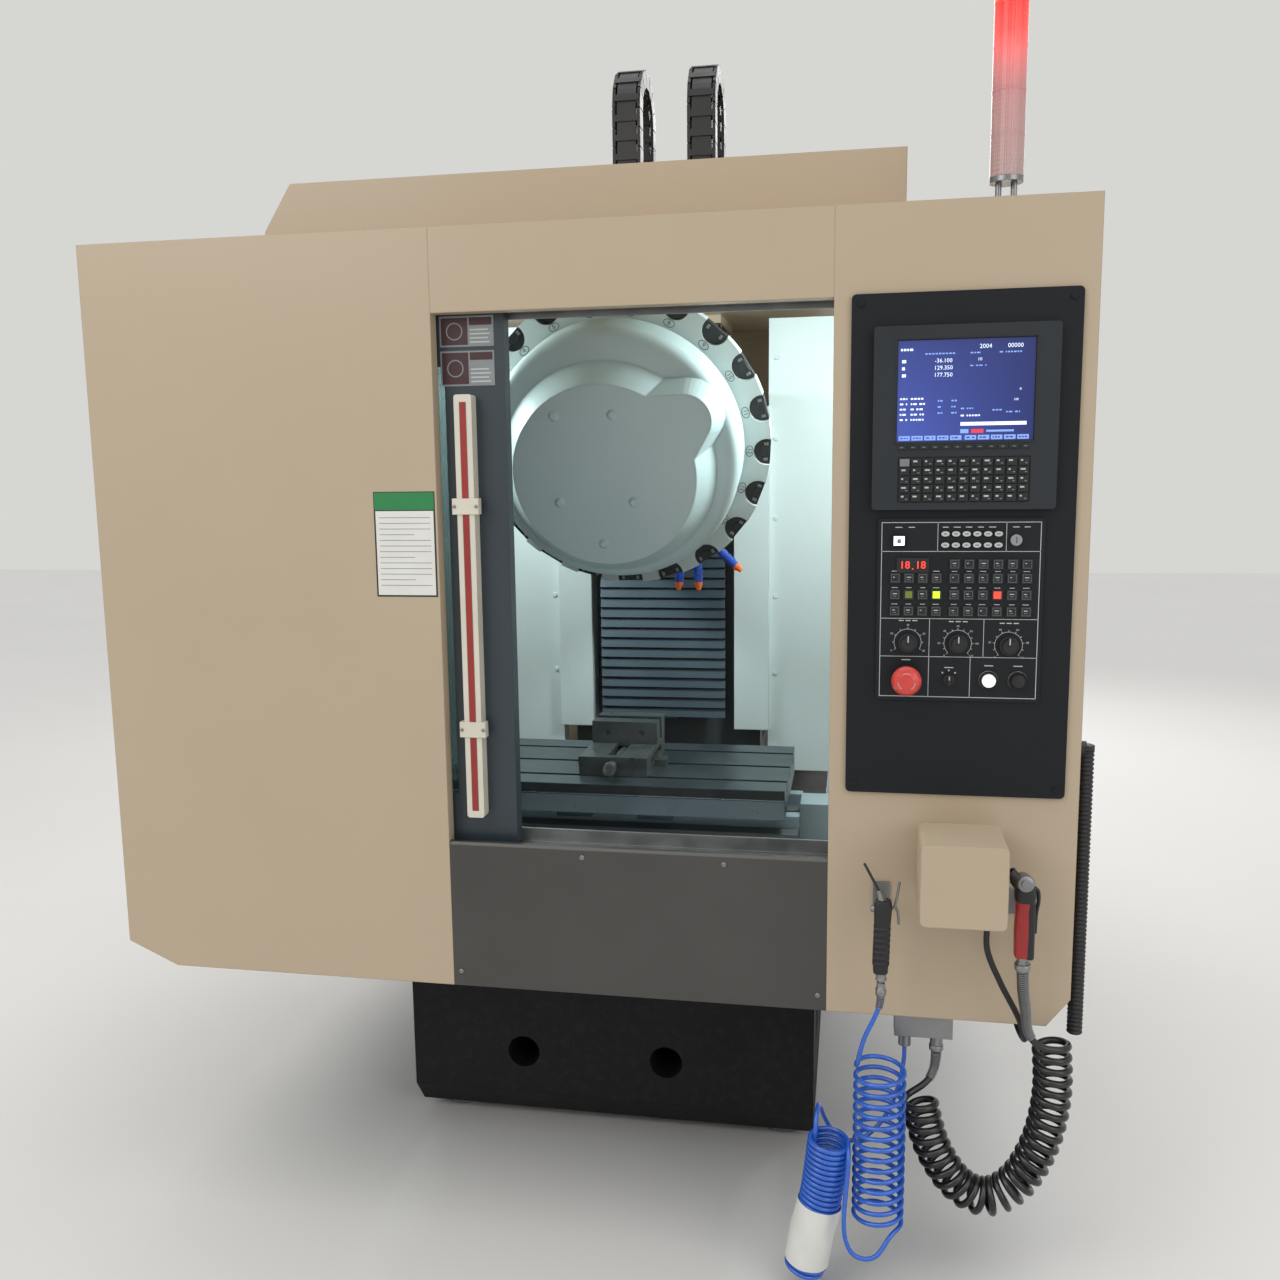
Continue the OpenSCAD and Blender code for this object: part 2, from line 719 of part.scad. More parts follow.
module table() {
    y = -table_y;
    d = table_d / 2;
    w = table_w / 2;
    color("silver") {
        difference() {
            box(-w, w, y - d, y + d, table_low, table_top);
            for (s = [-1, 0, 1]) {
                box(-w - 1, w + 1, y + s * slot_pitch - slot_w / 2, y + s * slot_pitch + slot_w / 2,
                    table_top - slot_mouth - 1, table_top + 1);
                box(-w - 1, w + 1, y + s * slot_pitch - slot_foot_w / 2,
                    y + s * slot_pitch + slot_foot_w / 2, table_top - slot_mouth - slot_foot_h,
                    table_top - slot_mouth);
            }
        }
        for (s = [-1, 1], t = [-1, 1]) translate([t * x_rail_half, y + s * x_rail_half,
            saddle_top + rail_t / 2]) rotate([0, 0, 90]) rail_block(rail_w + 36, block_l,
                table_low - saddle_top - rail_t / 2, rail_t / 2 + run_gap);
        difference() {
            box(-28, 28, y - 24, y + 24, x_screw_z - 18, table_low);
            along_x(-29, 29, y, x_screw_z, screw_r - 1 + run_gap);
        }
    }
}
module vise_body() {
    w = vise_w / 2;
    y0 = vise_front;
    y1 = vise_front + vise_l;
    bed = table_top + vise_bed;
    color("silver") {
        difference() {
            box(-w, w, y0, y1, table_top, bed);
            box(-15, 15, y0 + 22, rear_jaw_y, table_top + 10, bed + 1);
            along_y(0, y0 - 1, y0 + 23, vise_screw_z, vise_screw_r + run_gap);
            for (s = [-1, 1]) box(s > 0 ? w - 16 : -w - 1, s > 0 ? w + 1 : -w + 16, y0 + 50, y1 - 50,
                table_top + 16, bed - 12);
        }
        difference() {
            box(-w, w, rear_jaw_y, y1, bed, bed + jaw_h);
            for (x = [-40, 40]) along_y(x, rear_jaw_y - 1, rear_jaw_y + 9, bed + jaw_h / 2, 6);
        }
        for (s = [-1, 1]) box(s > 0 ? w : -w - 26, s > 0 ? w + 26 : -w, y0 + 100, y0 + 136,
            table_top, table_top + 15);
    }
}
module vise_jaw() {
    w = vise_w / 2;
    bed = table_top + vise_bed;
    color("lightgray") difference() {
        union() {
            box(-w, w, jaw_y, jaw_y + jaw_t, bed + run_gap, bed + jaw_h);
            // The key that runs in the bed's slot, above the screw
            box(-15 + run_gap, 15 - run_gap, jaw_y, jaw_y + jaw_t, vise_screw_z + vise_screw_r + 1,
                bed + run_gap + 1);
        }
        for (x = [-40, 40]) along_y(x, jaw_y - 1, jaw_y + 9, bed + jaw_h / 2, 6);
    }
}
module vise_screw() {
    y0 = vise_front;
    color("gray") {
        along_y(0, y0 - 26, rear_jaw_y - run_gap, vise_screw_z, vise_screw_r);
        translate([0, y0 - 26, vise_screw_z]) rotate([90, 0, 0]) difference() {
            cylinder(r = 14, h = 16);
            translate([0, 0, 7]) cylinder(r = 7, h = 10, $fn = 6);
        }
    }
}

// Head
module headstock() {
    w = head_w / 2;
    back = wall_y;
    gap = column_y - back;
    nose = spindle_y - nose_r - 7;
    color("slategray") {
        difference() {
            union() {
                slab_x(-w, w, [[back, head_low], [back, head_top], [40, head_top], [10, head_top - 60],
                    [nose + 30, head_top - 60], [nose, head_top - 90], [nose, head_low + 50],
                    [nose + 25, head_low + 25], [nose + 25, head_low]]);
            }
            translate([0, spindle_y, head_low - 1]) cylinder(r = shaft_r + run_gap, h = 92, $fn = hole_n);
            for (s = [-1, 1]) box(s > 0 ? w - 25 : -w - 1, s > 0 ? w + 1 : -w + 25, 30, 210,
                head_low + 60, head_top - 70);
        }
        for (s = [-1, 1], z = [head_low + 20, head_top - 110]) translate([s * z_rail_half, back, z])
            rotate([90, 0, 0]) mirror([0, 0, 1]) translate([0, block_l / 2, 0]) difference() {
                translate([-(rail_w + 36) / 2, -block_l / 2, 0])
                    cube([rail_w + 36, block_l, gap - rail_t / 2]);
                translate([-rail_w / 2 - run_gap, -block_l / 2 - 1, gap - rail_t - run_gap])
                    cube([rail_w + 2 * run_gap, block_l + 2, rail_t + 2]);
            }
        difference() {
            box(-26, 26, back, column_y - 4, head_low + 140, head_low + 200);
            translate([0, z_screw_y, head_low + 139]) cylinder(r = screw_r + run_gap, h = 62);
        }
    }
}
module spindle_motor() {
    w = spindle_motor_w / 2;
    z0 = head_top - 60;
    color("black") {
        box(-w, w, spindle_y - 38, spindle_y + 62, z0, z0 + spindle_motor_h);
        translate([0, spindle_y + 12, z0 + spindle_motor_h]) cylinder(r = 46, h = 24);
        box(w, w + 34, spindle_y - 20, spindle_y + 30, z0 + 90, z0 + 140);
    }
}
module nozzle(x, y, z, lean, count) {
    translate([x, y, z]) rotate([0, lean, 0]) {
        for (k = [0 : count - 1]) translate([0, 0, -k * 14 - 13]) cylinder(r1 = 9, r2 = 11.5, h = 13.5);
        translate([0, 0, -count * 14 - 18]) cylinder(r1 = 4, r2 = 9, h = 19);
    }
}
module coolant_nozzles() {
    y = spindle_y - 24;
    z = head_low - 16;
    color("royalblue") {
        box(nozzle_x - 14, nozzle_x + 78, y - 14, y + 16, z, head_low);
        nozzle(nozzle_x, y, z, 5, 7);
        nozzle(nozzle_x + 32, y, z, -3, 7);
        nozzle(nozzle_x + 64, y, z, -46, 6);
    }
}
module spindle() {
    color("silver") difference() {
        union() {
            translate([0, spindle_y, head_low - seat - nose_l]) cylinder(r = nose_r, h = nose_l,
                $fn = hole_n);
            translate([0, spindle_y, head_low - seat]) cylinder(r = shaft_r, h = 90, $fn = hole_n);
        }
        translate([0, spindle_y, head_low - seat - nose_l - 0.01]) cylinder(r1 = taper_r,
            r2 = taper_r - taper_l * 7 / 48, h = taper_l, $fn = hole_n);
        for (s = [-1, 1]) box(s * (nose_r - 11) - 12, s * (nose_r - 11) + 12, spindle_y - 8,
            spindle_y + 8, head_low - nose_l - 1, head_low - nose_l + 6);
    }
}

// Tool magazine, built about its own axis
module at_ring() {
    translate([0, -ring_y, ring_z]) rotate([90 + ring_tilt, 0, 0]) children();
}
module magazine_ring() {
    r = ring_r;
    color("whitesmoke") at_ring() difference() {
        translate([0, 0, -ring_t]) cylinder(r = r, h = ring_t, $fn = 96);
        translate([0, 0, -ring_t - 1]) cylinder(r = hub_r + run_gap, h = ring_t + 2, $fn = hole_n);
        for (k = [0 : tools - 1]) rotate(k * 360 / tools - 90) translate([r - notch_in, 0,
            -ring_t - 1]) cylinder(r = notch_r, h = ring_t + 2, $fn = 32);
    }
}
// The cover's plateau: a round part and a lobe to the upper right, with sloped sides
module plateau(r, slope, h) {
    cx = -0.02 * cover_r;
    cy = -0.08 * cover_r;
    translate([cx, cy, 0]) cylinder(r1 = r + slope, r2 = r, h = h, $fn = 96);
    hull() for (p = [[0.62, 0.34, 0.2], [0.26, 0.3, 0.23], [0.2, -0.06, 0.36]])
        translate([p[0] * cover_r, p[1] * cover_r, 0]) cylinder(r1 = p[2] * cover_r + slope * 0.6,
            r2 = p[2] * cover_r, h = h, $fn = 40);
}
module magazine_cover() {
    r = cover_r;
    q = cover_round;
    rim = cover_rim;
    color("gainsboro") at_ring() {
        translate([0, 0, 1]) rotate_extrude($fn = 96) polygon(concat([[0, 0], [r - 12, 0], [r, 10],
            [r, rim - q]], [for (a = [15 : 15 : 90]) [r - q + q * cos(a), rim - q + q * sin(a)]],
            [[0, rim]]));
        translate([0, 0, 1 + rim]) plateau(0.71 * r, 0.13 * r, lobe_h);
        for (p = [[-0.36, 0.4], [0.08, 0.4], [-0.38, -0.28], [0.2, -0.28], [-0.06, -0.62]])
            translate([p[0] * r, p[1] * r, 1 + rim + lobe_h]) cylinder(r1 = 11, r2 = 7, h = 5);
    }
}
function ring_back(z) = -ring_y + (ring_z - z) * tan(ring_tilt) + ring_t / cos(ring_tilt) + 5;
module magazine_bracket() {
    // The arms pass on both sides of the head
    a = head_w / 2 + 8;
    t = 14;
    low = ring_z + 12;
    top = head_top + 40;
    front = ring_back(top - 110);
    color("dimgray") {
        at_ring() translate([0, 0, -ring_t - 14]) cylinder(r = hub_r, h = ring_t + 15, $fn = hole_n);
        slab_x(-60, 60, [[ring_back(low), low], [ring_back(top + 40), top + 40],
            [front + 20, top + 40], [front + 20, top - 60], [ring_back(low) + 35, low]]);
        for (s = [-1, 1]) box(s > 0 ? a : -a - t, s > 0 ? a + t : -a, front, column_y, top - 110, top);
        box(-a - t, a + t, front, front + 60, top, top + 40);
    }
    color("black") {
        box(70, 160, front, front + 70, top + 40, top + 122);
        translate([115, front + 35, top + 122]) cylinder(r = 32, h = 20);
    }
}

// Control panel
module control_panel_plate() {
    color("black") {
        soft_plate(panel_x, panel_x + panel_w, panel_y, front_y, panel_low, panel_low + panel_h, 8);
        for (x = [panel_x + 15, panel_x + panel_w - 15], z = [panel_low + 15, panel_low + panel_h - 15])
            along_y(x, panel_y - 2.5, panel_y, z, 5);
    }
}
module display_unit() {
    x0 = display_x;
    x1 = display_x + display_w;
    z0 = display_low;
    z1 = display_low + display_h;
    lx = x0 + (display_w - lcd_w) / 2;
    y0 = panel_y - display_t;
    color("darkslategray") difference() {
        soft_plate(x0, x1, y0, panel_y, z0, z1, 6);
        box(lx, lx + lcd_w, y0 - 1, y0 + 4, z1 - 22 - lcd_h, z1 - 22);
        box(lx + 4, lx + lcd_w - 4, y0 - 1, y0 + 1.5, z0 + 12, z0 + 84);
    }
    color("gray") {
        for (k = [0 : 11]) box(lx + 2 + k * (lcd_w - 4) / 12, lx + 16 + k * (lcd_w - 4) / 12, y0 - 1,
            y0, z1 - 34 - lcd_h, z1 - 27 - lcd_h);
        for (k = [0 : 10], j = [0 : 4]) box(lx + 7 + k * 18.4, lx + 21 + k * 18.4, y0 - 1, y0 + 1.5,
            z0 + 14 + j * 14, z0 + 25 + j * 14);
    }
}
module operator_panel() {
    x0 = keys_x;
    y0 = keys_y;
    x = keys_dx;
    z = keys_low;
    color("black") soft_plate(x0, x0 + keys_w, y0, panel_y, z, z + keys_h, 4);
    color("dimgray") {
        // Keys
        for (k = [0 : 3], j = [0 : 2]) key_cap(x - 102 + k * 22, z + 149 + j * 27);
        for (k = [0 : 5], j = [0 : 3]) key_cap(x - 8 + k * 22.6, z + 149 + j * (j < 3 ? 27 : 25.6));
        box(x - 99, x - 50, y0 - 3, y0, z + 213, z + 235);
        // Square button, oval buttons and the collars of what moves
        box(x - 107, x - 87, y0 - 6, y0, z + 255, z + 273);
        for (k = [0 : 5], j = [0, 1]) soft_plate(x - 31 + k * 16.6, x - 17 + k * 16.6, y0 - 4, y0,
            z + 252 + j * 18, z + 262 + j * 18, 4.5);
        ring_collar(x - 82, z + 37, 17, stop_r * 0.4 + run_gap, 14);
        ring_collar(x + 50, z + 36, button_r + 4, button_r + run_gap, 5);
        ring_collar(x + 96, z + 36, button_r + 4, button_r + run_gap, 5);
    }
}
module key_cap(x, z) {
    box(x - 8, x + 8, keys_y - 2, keys_y, z - 8, z + 8);
}
module ring_collar(x, z, r, hole, h) {
    difference() {
        along_y(x, keys_y - h, keys_y, z, r);
        along_y(x, keys_y - h - 1, keys_y + 1, z, hole);
    }
}
module stop_button() {
    x = keys_dx - 82;
    z = keys_low + 37;
    y = keys_y - 14 - 1 - stop_travel;
    color("red") translate([x, y, z]) rotate([90, 0, 0]) {
        rotate_extrude() polygon([[0, 0], [stop_r - 3, 0], [stop_r, 4], [stop_r, 12],
            [stop_r - 4, 17], [stop_r * 0.45, 20], [0, 20.5]]);
        translate([0, 0, -8 - 1 ]) cylinder(r = stop_r * 0.4, h = 9);
    }
}
module power_button(x) {
    along_y(x, keys_y - 10, keys_y - 3.3, keys_low + 36, button_r);
}
module power_on_button() {
    color("white") power_button(keys_dx + 50);
}
module power_off_button() {
    color("black") power_button(keys_dx + 96);
}
module dial(x, z) {
    translate([x, keys_y - seat, z]) rotate([90, 0, 0]) {
        cylinder(r = knob_r, h = 8);
        cylinder(r = knob_r * 0.7, h = 18);
        translate([-2.5, 0, 8]) cube([5, knob_r - 1, 11]);
    }
}
module mode_knob() {
    color("dimgray") dial(keys_dx - 80, keys_low + 96);
}
module feed_knob() {
    color("dimgray") dial(keys_dx, keys_low + 96);
}
module speed_knob() {
    color("dimgray") dial(keys_dx + 80, keys_low + 94);
}
module selector_knob() {
    color("dimgray") translate([keys_dx - 13, keys_y - seat, keys_low + 36]) rotate([90, 0, 0]) {
        cylinder(r = selector_r, h = 6);
        translate([-2.5, -selector_r + 1, 6]) cube([5, 2 * selector_r - 2, 9]);
    }
}
module key_switch() {
    color("silver") translate([keys_dx + 86, keys_y - seat, keys_low + 265]) rotate([90, 0, 0])
        difference() {
            cylinder(r = selector_r, h = 7);
            translate([-1.2, -5, 3]) cube([2.4, 10, 5]);
        }
}

// On the roof
module tower_light_pole() {
    color("dimgray") {
        translate([light_x, light_y, enc_top]) {
            cylinder(r = 34, h = 6);
            for (s = [-1, 1]) translate([s * 12, 0, 6]) cylinder(r = 5, h = pole_h - 14);
            translate([0, 0, pole_h - 8]) cylinder(r = lens_r, h = 8);
        }
    }
}
module tower_light_lenses() {
    color("mistyrose") for (k = [0 : lens_count - 1]) translate([light_x, light_y,
        enc_top + pole_h + k * lens_h]) {
            cylinder(r = lens_r, h = lens_h - 4);
            translate([0, 0, lens_h - 4]) cylinder(r = lens_r - 2, h = 4);
        }
}
function on_bend(r, a) = [r * cos(a), chain_bend_z + r * sin(a)];
// A block of one link on the bend, between two radii and two angles
module bend_block(x0, x1, r0, r1, a0, a1) {
    slab_x(x0, x1, [on_bend(r0, a0), on_bend(r1, a0), on_bend(r1, a1), on_bend(r0, a1)]);
}
module energy_chains() {
    w = chain_w / 2;
    t = chain_t / 2;
    r = chain_bend;
    h = t - 3.5;
    n = floor((chain_bend_z - chain_foot) / link_l);
    step = (chain_bend_z - chain_foot) / n;
    arc = round(PI * r / link_l);
    da = 180 / arc;
    outer = [for (a = [0 : da / 4 : 180.1]) on_bend(r + h, a)];
    inner = [for (a = [0 : da / 4 : 180.1]) on_bend(r - h, 180 - a)];
    color("black") for (c = [-1, 1]) translate([c * chain_half, chain_y, 0]) {
        // The hoses inside, as one band
        slab_x(-w + 12, w - 12, concat([[r + h, chain_foot]], outer, [[-r - h, chain_foot],
            [h - r, chain_foot]], inner, [[r - h, chain_foot]]));
        for (s = [-1, 1], k = [0 : n - 1]) {
            z = chain_foot + k * step;
            for (e = [-w, w - 8]) box(e, e + 8, s * r - t, s * r + t, z + 1.5, z + step - 1.5);
            for (y = [s * r - t, s * r + t - 4]) box(-w + 4, w - 4, y, y + 4, z + step / 2 - 8,
                z + step / 2 + 8);
        }
        for (k = [0 : arc - 1]) {
            for (e = [-w, w - 8]) bend_block(e, e + 8, r - t, r + t, k * da + 0.9, (k + 1) * da - 0.9);
            for (q = [r - t, r + t - 4]) bend_block(-w + 4, w - 4, q, q + 4, (k + 0.5) * da - 4,
                (k + 0.5) * da + 4);
        }
        for (s = [-1, 1]) box(-w - 3, w + 3, s * r - t - 3, s * r + t + 3, column_top, chain_foot);
    }
}

// Rear
module electric_cabinet() {
    w = cabinet_w / 2;
    z0 = cabinet_low;
    z1 = enc_top;
    y0 = cabinet_y;
    y1 = cabinet_back;
    color("tan") difference() {
        box(-w, w, y0, y1, z0, z1);
        box(-w + sheet, w - sheet, y0 + sheet, y1 + 1, z0 + sheet, z1 - sheet);
    }
    color("silver") {
        box(-w + 40, w - 40, y0 + sheet, y0 + sheet + 12, z0 + 60, z1 - 60);
        // Fixed leaves of the door's hinges
        for (z = [z0 + 150, (z0 + z1) / 2, z1 - 150]) box(-w - 5, -w, y1 - 30, y1 + cabinet_door_t
            - hinge_r - run_gap, z - 30, z + 30);
    }
    color("dimgray") for (k = [0 : 3], j = [0 : 2]) box(-w + 80 + k * 165, -w + 190 + k * 165,
        y0 + sheet + 12, y0 + sheet + 72, z0 + 140 + j * 430, z0 + 400 + j * 430);
}
module cabinet_door() {
    w = cabinet_w / 2;
    y0 = cabinet_back + seat;
    color("tan") {
        difference() {
            box(-w, w, y0, y0 + cabinet_door_t - seat, cabinet_low, enc_top - 2);
            box(-w + 14, w - 14, y0 - 1, y0 + cabinet_door_t - sheet - seat, cabinet_low + 14,
                enc_top - 16);
        }
    }
    color("silver") for (z = [cabinet_low + 150, (cabinet_low + enc_top) / 2, enc_top - 150])
        translate([-w, cabinet_back + cabinet_door_t, z - 30]) cylinder(r = hinge_r, h = 60);
    color("black") box(w - 72, w - 48, y0 + cabinet_door_t - seat, y0 + cabinet_door_t - seat + 12,
        (cabinet_low + enc_top) / 2 - 80, (cabinet_low + enc_top) / 2 + 80);
}

// Guns, box, fittings and cords
module handwheel_box() {
    color("tan") {
        soft_plate(box_x, box_x + box_w, box_y, front_y - 30, box_low, box_low + box_h, 10);
        soft_plate(box_x + 8, box_x + box_w - 8, front_y - 30, front_y, box_low + 8,
            box_low + box_h - 8, 8);
    }
    color("black") translate([box_x + box_w - 22, box_y + 75, box_low - 22]) cylinder(r = 10, h = 22);
}
module hose_fittings() {
    color("gray") {
        // Block under the pan with its fittings
        box(590, 690, manifold_y - 20, manifold_y + 20, manifold_low, pan_front_z);
        for (x = [609, 664]) translate([x, manifold_y, manifold_low - 24]) cylinder(r = 11, h = 24);
        translate([800, -780, 500]) cylinder(r = 11, h = pan_front_z - 500 + 7);
        // Hooks for the two guns
        for (x = [562, 786]) {
            along_y(x, front_y - gun_out + 18 + seat, front_y, 712, 4);
            translate([x, front_y - gun_out + 22 + seat, 708]) cylinder(r = 4, h = 26);
            box(x - 14, x + 14, front_y - 4, front_y, 690, 734);
        }
    }
}
module gun(x, y, z, h) {
    // Handle with a head and a nozzle, hung with its trigger towards the hook
    translate([x, y, z]) cylinder(r = 11, h = h);
    translate([x, y, z - 14]) cylinder(r = 9, h = 14);
    slab_x(x - 13, x + 13, [[y - 16, z + h - 4], [y + 18, z + h - 4], [y + 18, z + h + 30],
        [y - 16, z + h + 30]]);
}
module air_gun() {
    color("black") gun(562, front_y - gun_out, 587, 110);
    color("gray") translate([562, front_y - gun_out, 587 + 128]) rotate([0, -62, 0])
        cylinder(r = 4, h = 70);
}
module coolant_gun() {
    color("darkred") gun(786, front_y - gun_out, 647, 80);
    color("gray") translate([786, front_y - gun_out, 647 + 96]) rotate([0, 58, 0])
        cylinder(r = 8, h = 40);
}
air_top = [[562, -984, 573], [562, -980, 520], [560, -965, 470], [564, -955, 430.8]];
air_mid = [[564, -955, 139.3], [562, -957, 114], [535, -988, 98], [508, -1012, 150], [502, -1010, 250],
    [494, -992, 314], [484, -966, 318], [481, -962, 291.4]];
air_up = [[609, -850, 416], [607, -850, 380], [585, -862, 310], [550, -882, 250], [510, -902, 232],
    [474, -908, 262], [466, -914, 304], [459, -938, 330], [457, -958, 316], [457, -962, 294]];
module air_hose() {
    color("royalblue") {
        tube(curve(air_top, 2), air_hose_r, 8);
        tube(curve(air_mid, 2), air_hose_r, 8);
        tube(curve(air_up, 2), air_hose_r, 8);
    }
}
module air_coil() {
    color("royalblue") translate([564, -955, 140]) cylinder(r = air_coil_r, h = 290, $fn = 24);
}
bundle_way = [[480, -962, 290], [468, -962, 190], [452, -962, 110], [440, -962, 44]];
module air_bundle() {
    color("royalblue") tube(bundle_way, bundle_r, 12);
}
coolant_top = [[786, -984, 633], [788, -980, 590], [800, -960, 545], [830, -930, 505],
    [848, -914, 488], [848, -914, 471]];
coolant_low = [[664, -850, 416], [662, -853, 402], [645, -880, 388], [628, -903, 366],
    [632, -904, 349]];
module coolant_hose() {
    color("black") {
        tube(curve(coolant_top, 2), coolant_hose_r, 8);
        tube(curve(coolant_low, 2), coolant_hose_r, 8);
    }
}
coolant_way = [[848, -914, 470], [852, -912, 380], [838, -910, 290], [802, -910, 212],
    [752, -910, 176], [700, -910, 196], [656, -908, 262], [632, -904, 348]];
module coolant_coil() {
    color("black") tube(curve(coolant_way, 2), coolant_coil_r, 12);
}
cable_way = [[730, -975, 692.7], [732, -972, 650], [756, -958, 590], [790, -936, 520],
    [806, -900, 466], [806, -840, 450], [801, -795, 466], [800, -780, 499]];
module handwheel_cable() {
    color("black") tube(curve(cable_way, 2), cable_r, 8);
}
module side_conduit() {
    x = half_w + conduit_r + 1;
    color("black") {
        translate([x, -870, 470]) cylinder(r = conduit_r, h = 500);
        translate([half_w, -870, 970]) rotate([0, 90, 0]) cylinder(r = conduit_r, h = conduit_r + 1);
        translate([x, -870, 970]) sphere(r = conduit_r, $fn = 24);
    }
}

base_casting();
levelling_feet();
column_casting();
y_axis_drive();
z_axis_drive();
column_guards();
z_slat_cover();
rear_wall();
chip_pan();
front_left_panel();
header_panel();
front_right_panel();
lower_front_cover();
side_panels();
roof_panel();
top_box();
door_tracks();
control_panel_plate();
display_unit();
operator_panel();
tower_light_pole();
tower_light_lenses();
energy_chains();
electric_cabinet();
handwheel_box();
hose_fittings();
air_gun();
coolant_gun();
air_hose();
air_coil();
air_bundle();
coolant_hose();
coolant_coil();
handwheel_cable();
side_conduit();
magazine_bracket();
magazine_cover();
door_frame();
door_window();
door_handle();
saddle();
x_axis_drive();
table();
vise_body();
vise_jaw();
vise_screw();
headstock();
spindle_motor();
coolant_nozzles();
spindle();
magazine_ring();
cabinet_door();
stop_button();
power_on_button();
power_off_button();
mode_knob();
feed_knob();
speed_knob();
selector_knob();
key_switch();
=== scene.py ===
"""Looks of the machining center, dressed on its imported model."""
from math import acos, cos, degrees, pi, radians, sin

import bpy
from mathutils import Matrix, Vector


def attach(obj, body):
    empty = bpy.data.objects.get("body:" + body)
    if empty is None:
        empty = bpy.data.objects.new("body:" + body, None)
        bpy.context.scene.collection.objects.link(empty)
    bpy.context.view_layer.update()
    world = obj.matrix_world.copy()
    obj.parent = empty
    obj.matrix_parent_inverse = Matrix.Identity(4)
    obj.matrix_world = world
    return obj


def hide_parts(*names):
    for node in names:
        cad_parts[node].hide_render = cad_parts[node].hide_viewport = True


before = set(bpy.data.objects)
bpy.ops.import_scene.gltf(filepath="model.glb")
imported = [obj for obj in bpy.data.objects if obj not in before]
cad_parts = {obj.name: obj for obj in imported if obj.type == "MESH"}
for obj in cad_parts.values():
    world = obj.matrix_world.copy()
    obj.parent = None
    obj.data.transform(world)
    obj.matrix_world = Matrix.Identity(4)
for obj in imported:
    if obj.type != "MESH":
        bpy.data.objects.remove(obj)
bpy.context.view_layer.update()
scene = bpy.context.scene
MM = 0.001

UP = (0, 0, 1)
TO_FRONT = (0, -1, 0)

# Places shared with the model, in millimetres
FRONT_Y = -900.0
DOOR_Y = -866.0
KEYS_Y = -910.0
SCREEN = (573.0, 783.0, 1476.0, 1634.0)
SCREEN_Y = -914.0
UNIT_Y = -918.0
TABLE_Y = -518.8
CABINET_Y = 1038
GUN_Y = -984.0
RING_CENTRE = Vector((0.0, -320.0, 1496.0))
RING_TILT = radians(18)
TOOL_COUNT = 21
NOTCH_AT = 322.0
NOTCH_R = 29.0
LIGHT = (739.0, -840.0)

# Camera, solved from the photo: place in metres, turns in degrees, focal length in the photo's pixels
CAMERA_AT = (0.507, -2.850, 1.430)
CAMERA_TURNS = (10.474, 8.155, -0.699)
FOCAL = 1159.3
PHOTO_SIZE = 1280
SENSOR = 36.0


def add_camera():
    yaw, pitch, roll = (radians(a) for a in CAMERA_TURNS)
    ahead = Vector((-sin(yaw) * cos(pitch), cos(yaw) * cos(pitch), -sin(pitch)))
    right = Vector((cos(yaw), sin(yaw), 0.0))
    up = right.cross(ahead)
    across = cos(roll) * right + sin(roll) * up
    above = -sin(roll) * right + cos(roll) * up
    data = bpy.data.cameras.new("camera")
    data.sensor_fit = "HORIZONTAL"
    data.sensor_width = SENSOR
    data.lens = FOCAL / PHOTO_SIZE * SENSOR
    obj = bpy.data.objects.new("camera", data)
    scene.collection.objects.link(obj)
    turn = Matrix((across, above, -ahead)).transposed().to_4x4()
    obj.matrix_world = Matrix.Translation(CAMERA_AT) @ turn
    scene.camera = obj


add_camera()


# Materials
def srgb(r, g, b):
    out = []
    for v in (r, g, b):
        v /= 255.0
        out.append(v / 12.92 if v <= 0.04045 else ((v + 0.055) / 1.055) ** 2.4)
    return (*out, 1.0)


def shade(color, k):
    return (*(min(1.0, c * k) for c in color[:3]), 1.0)


MATERIALS = {}


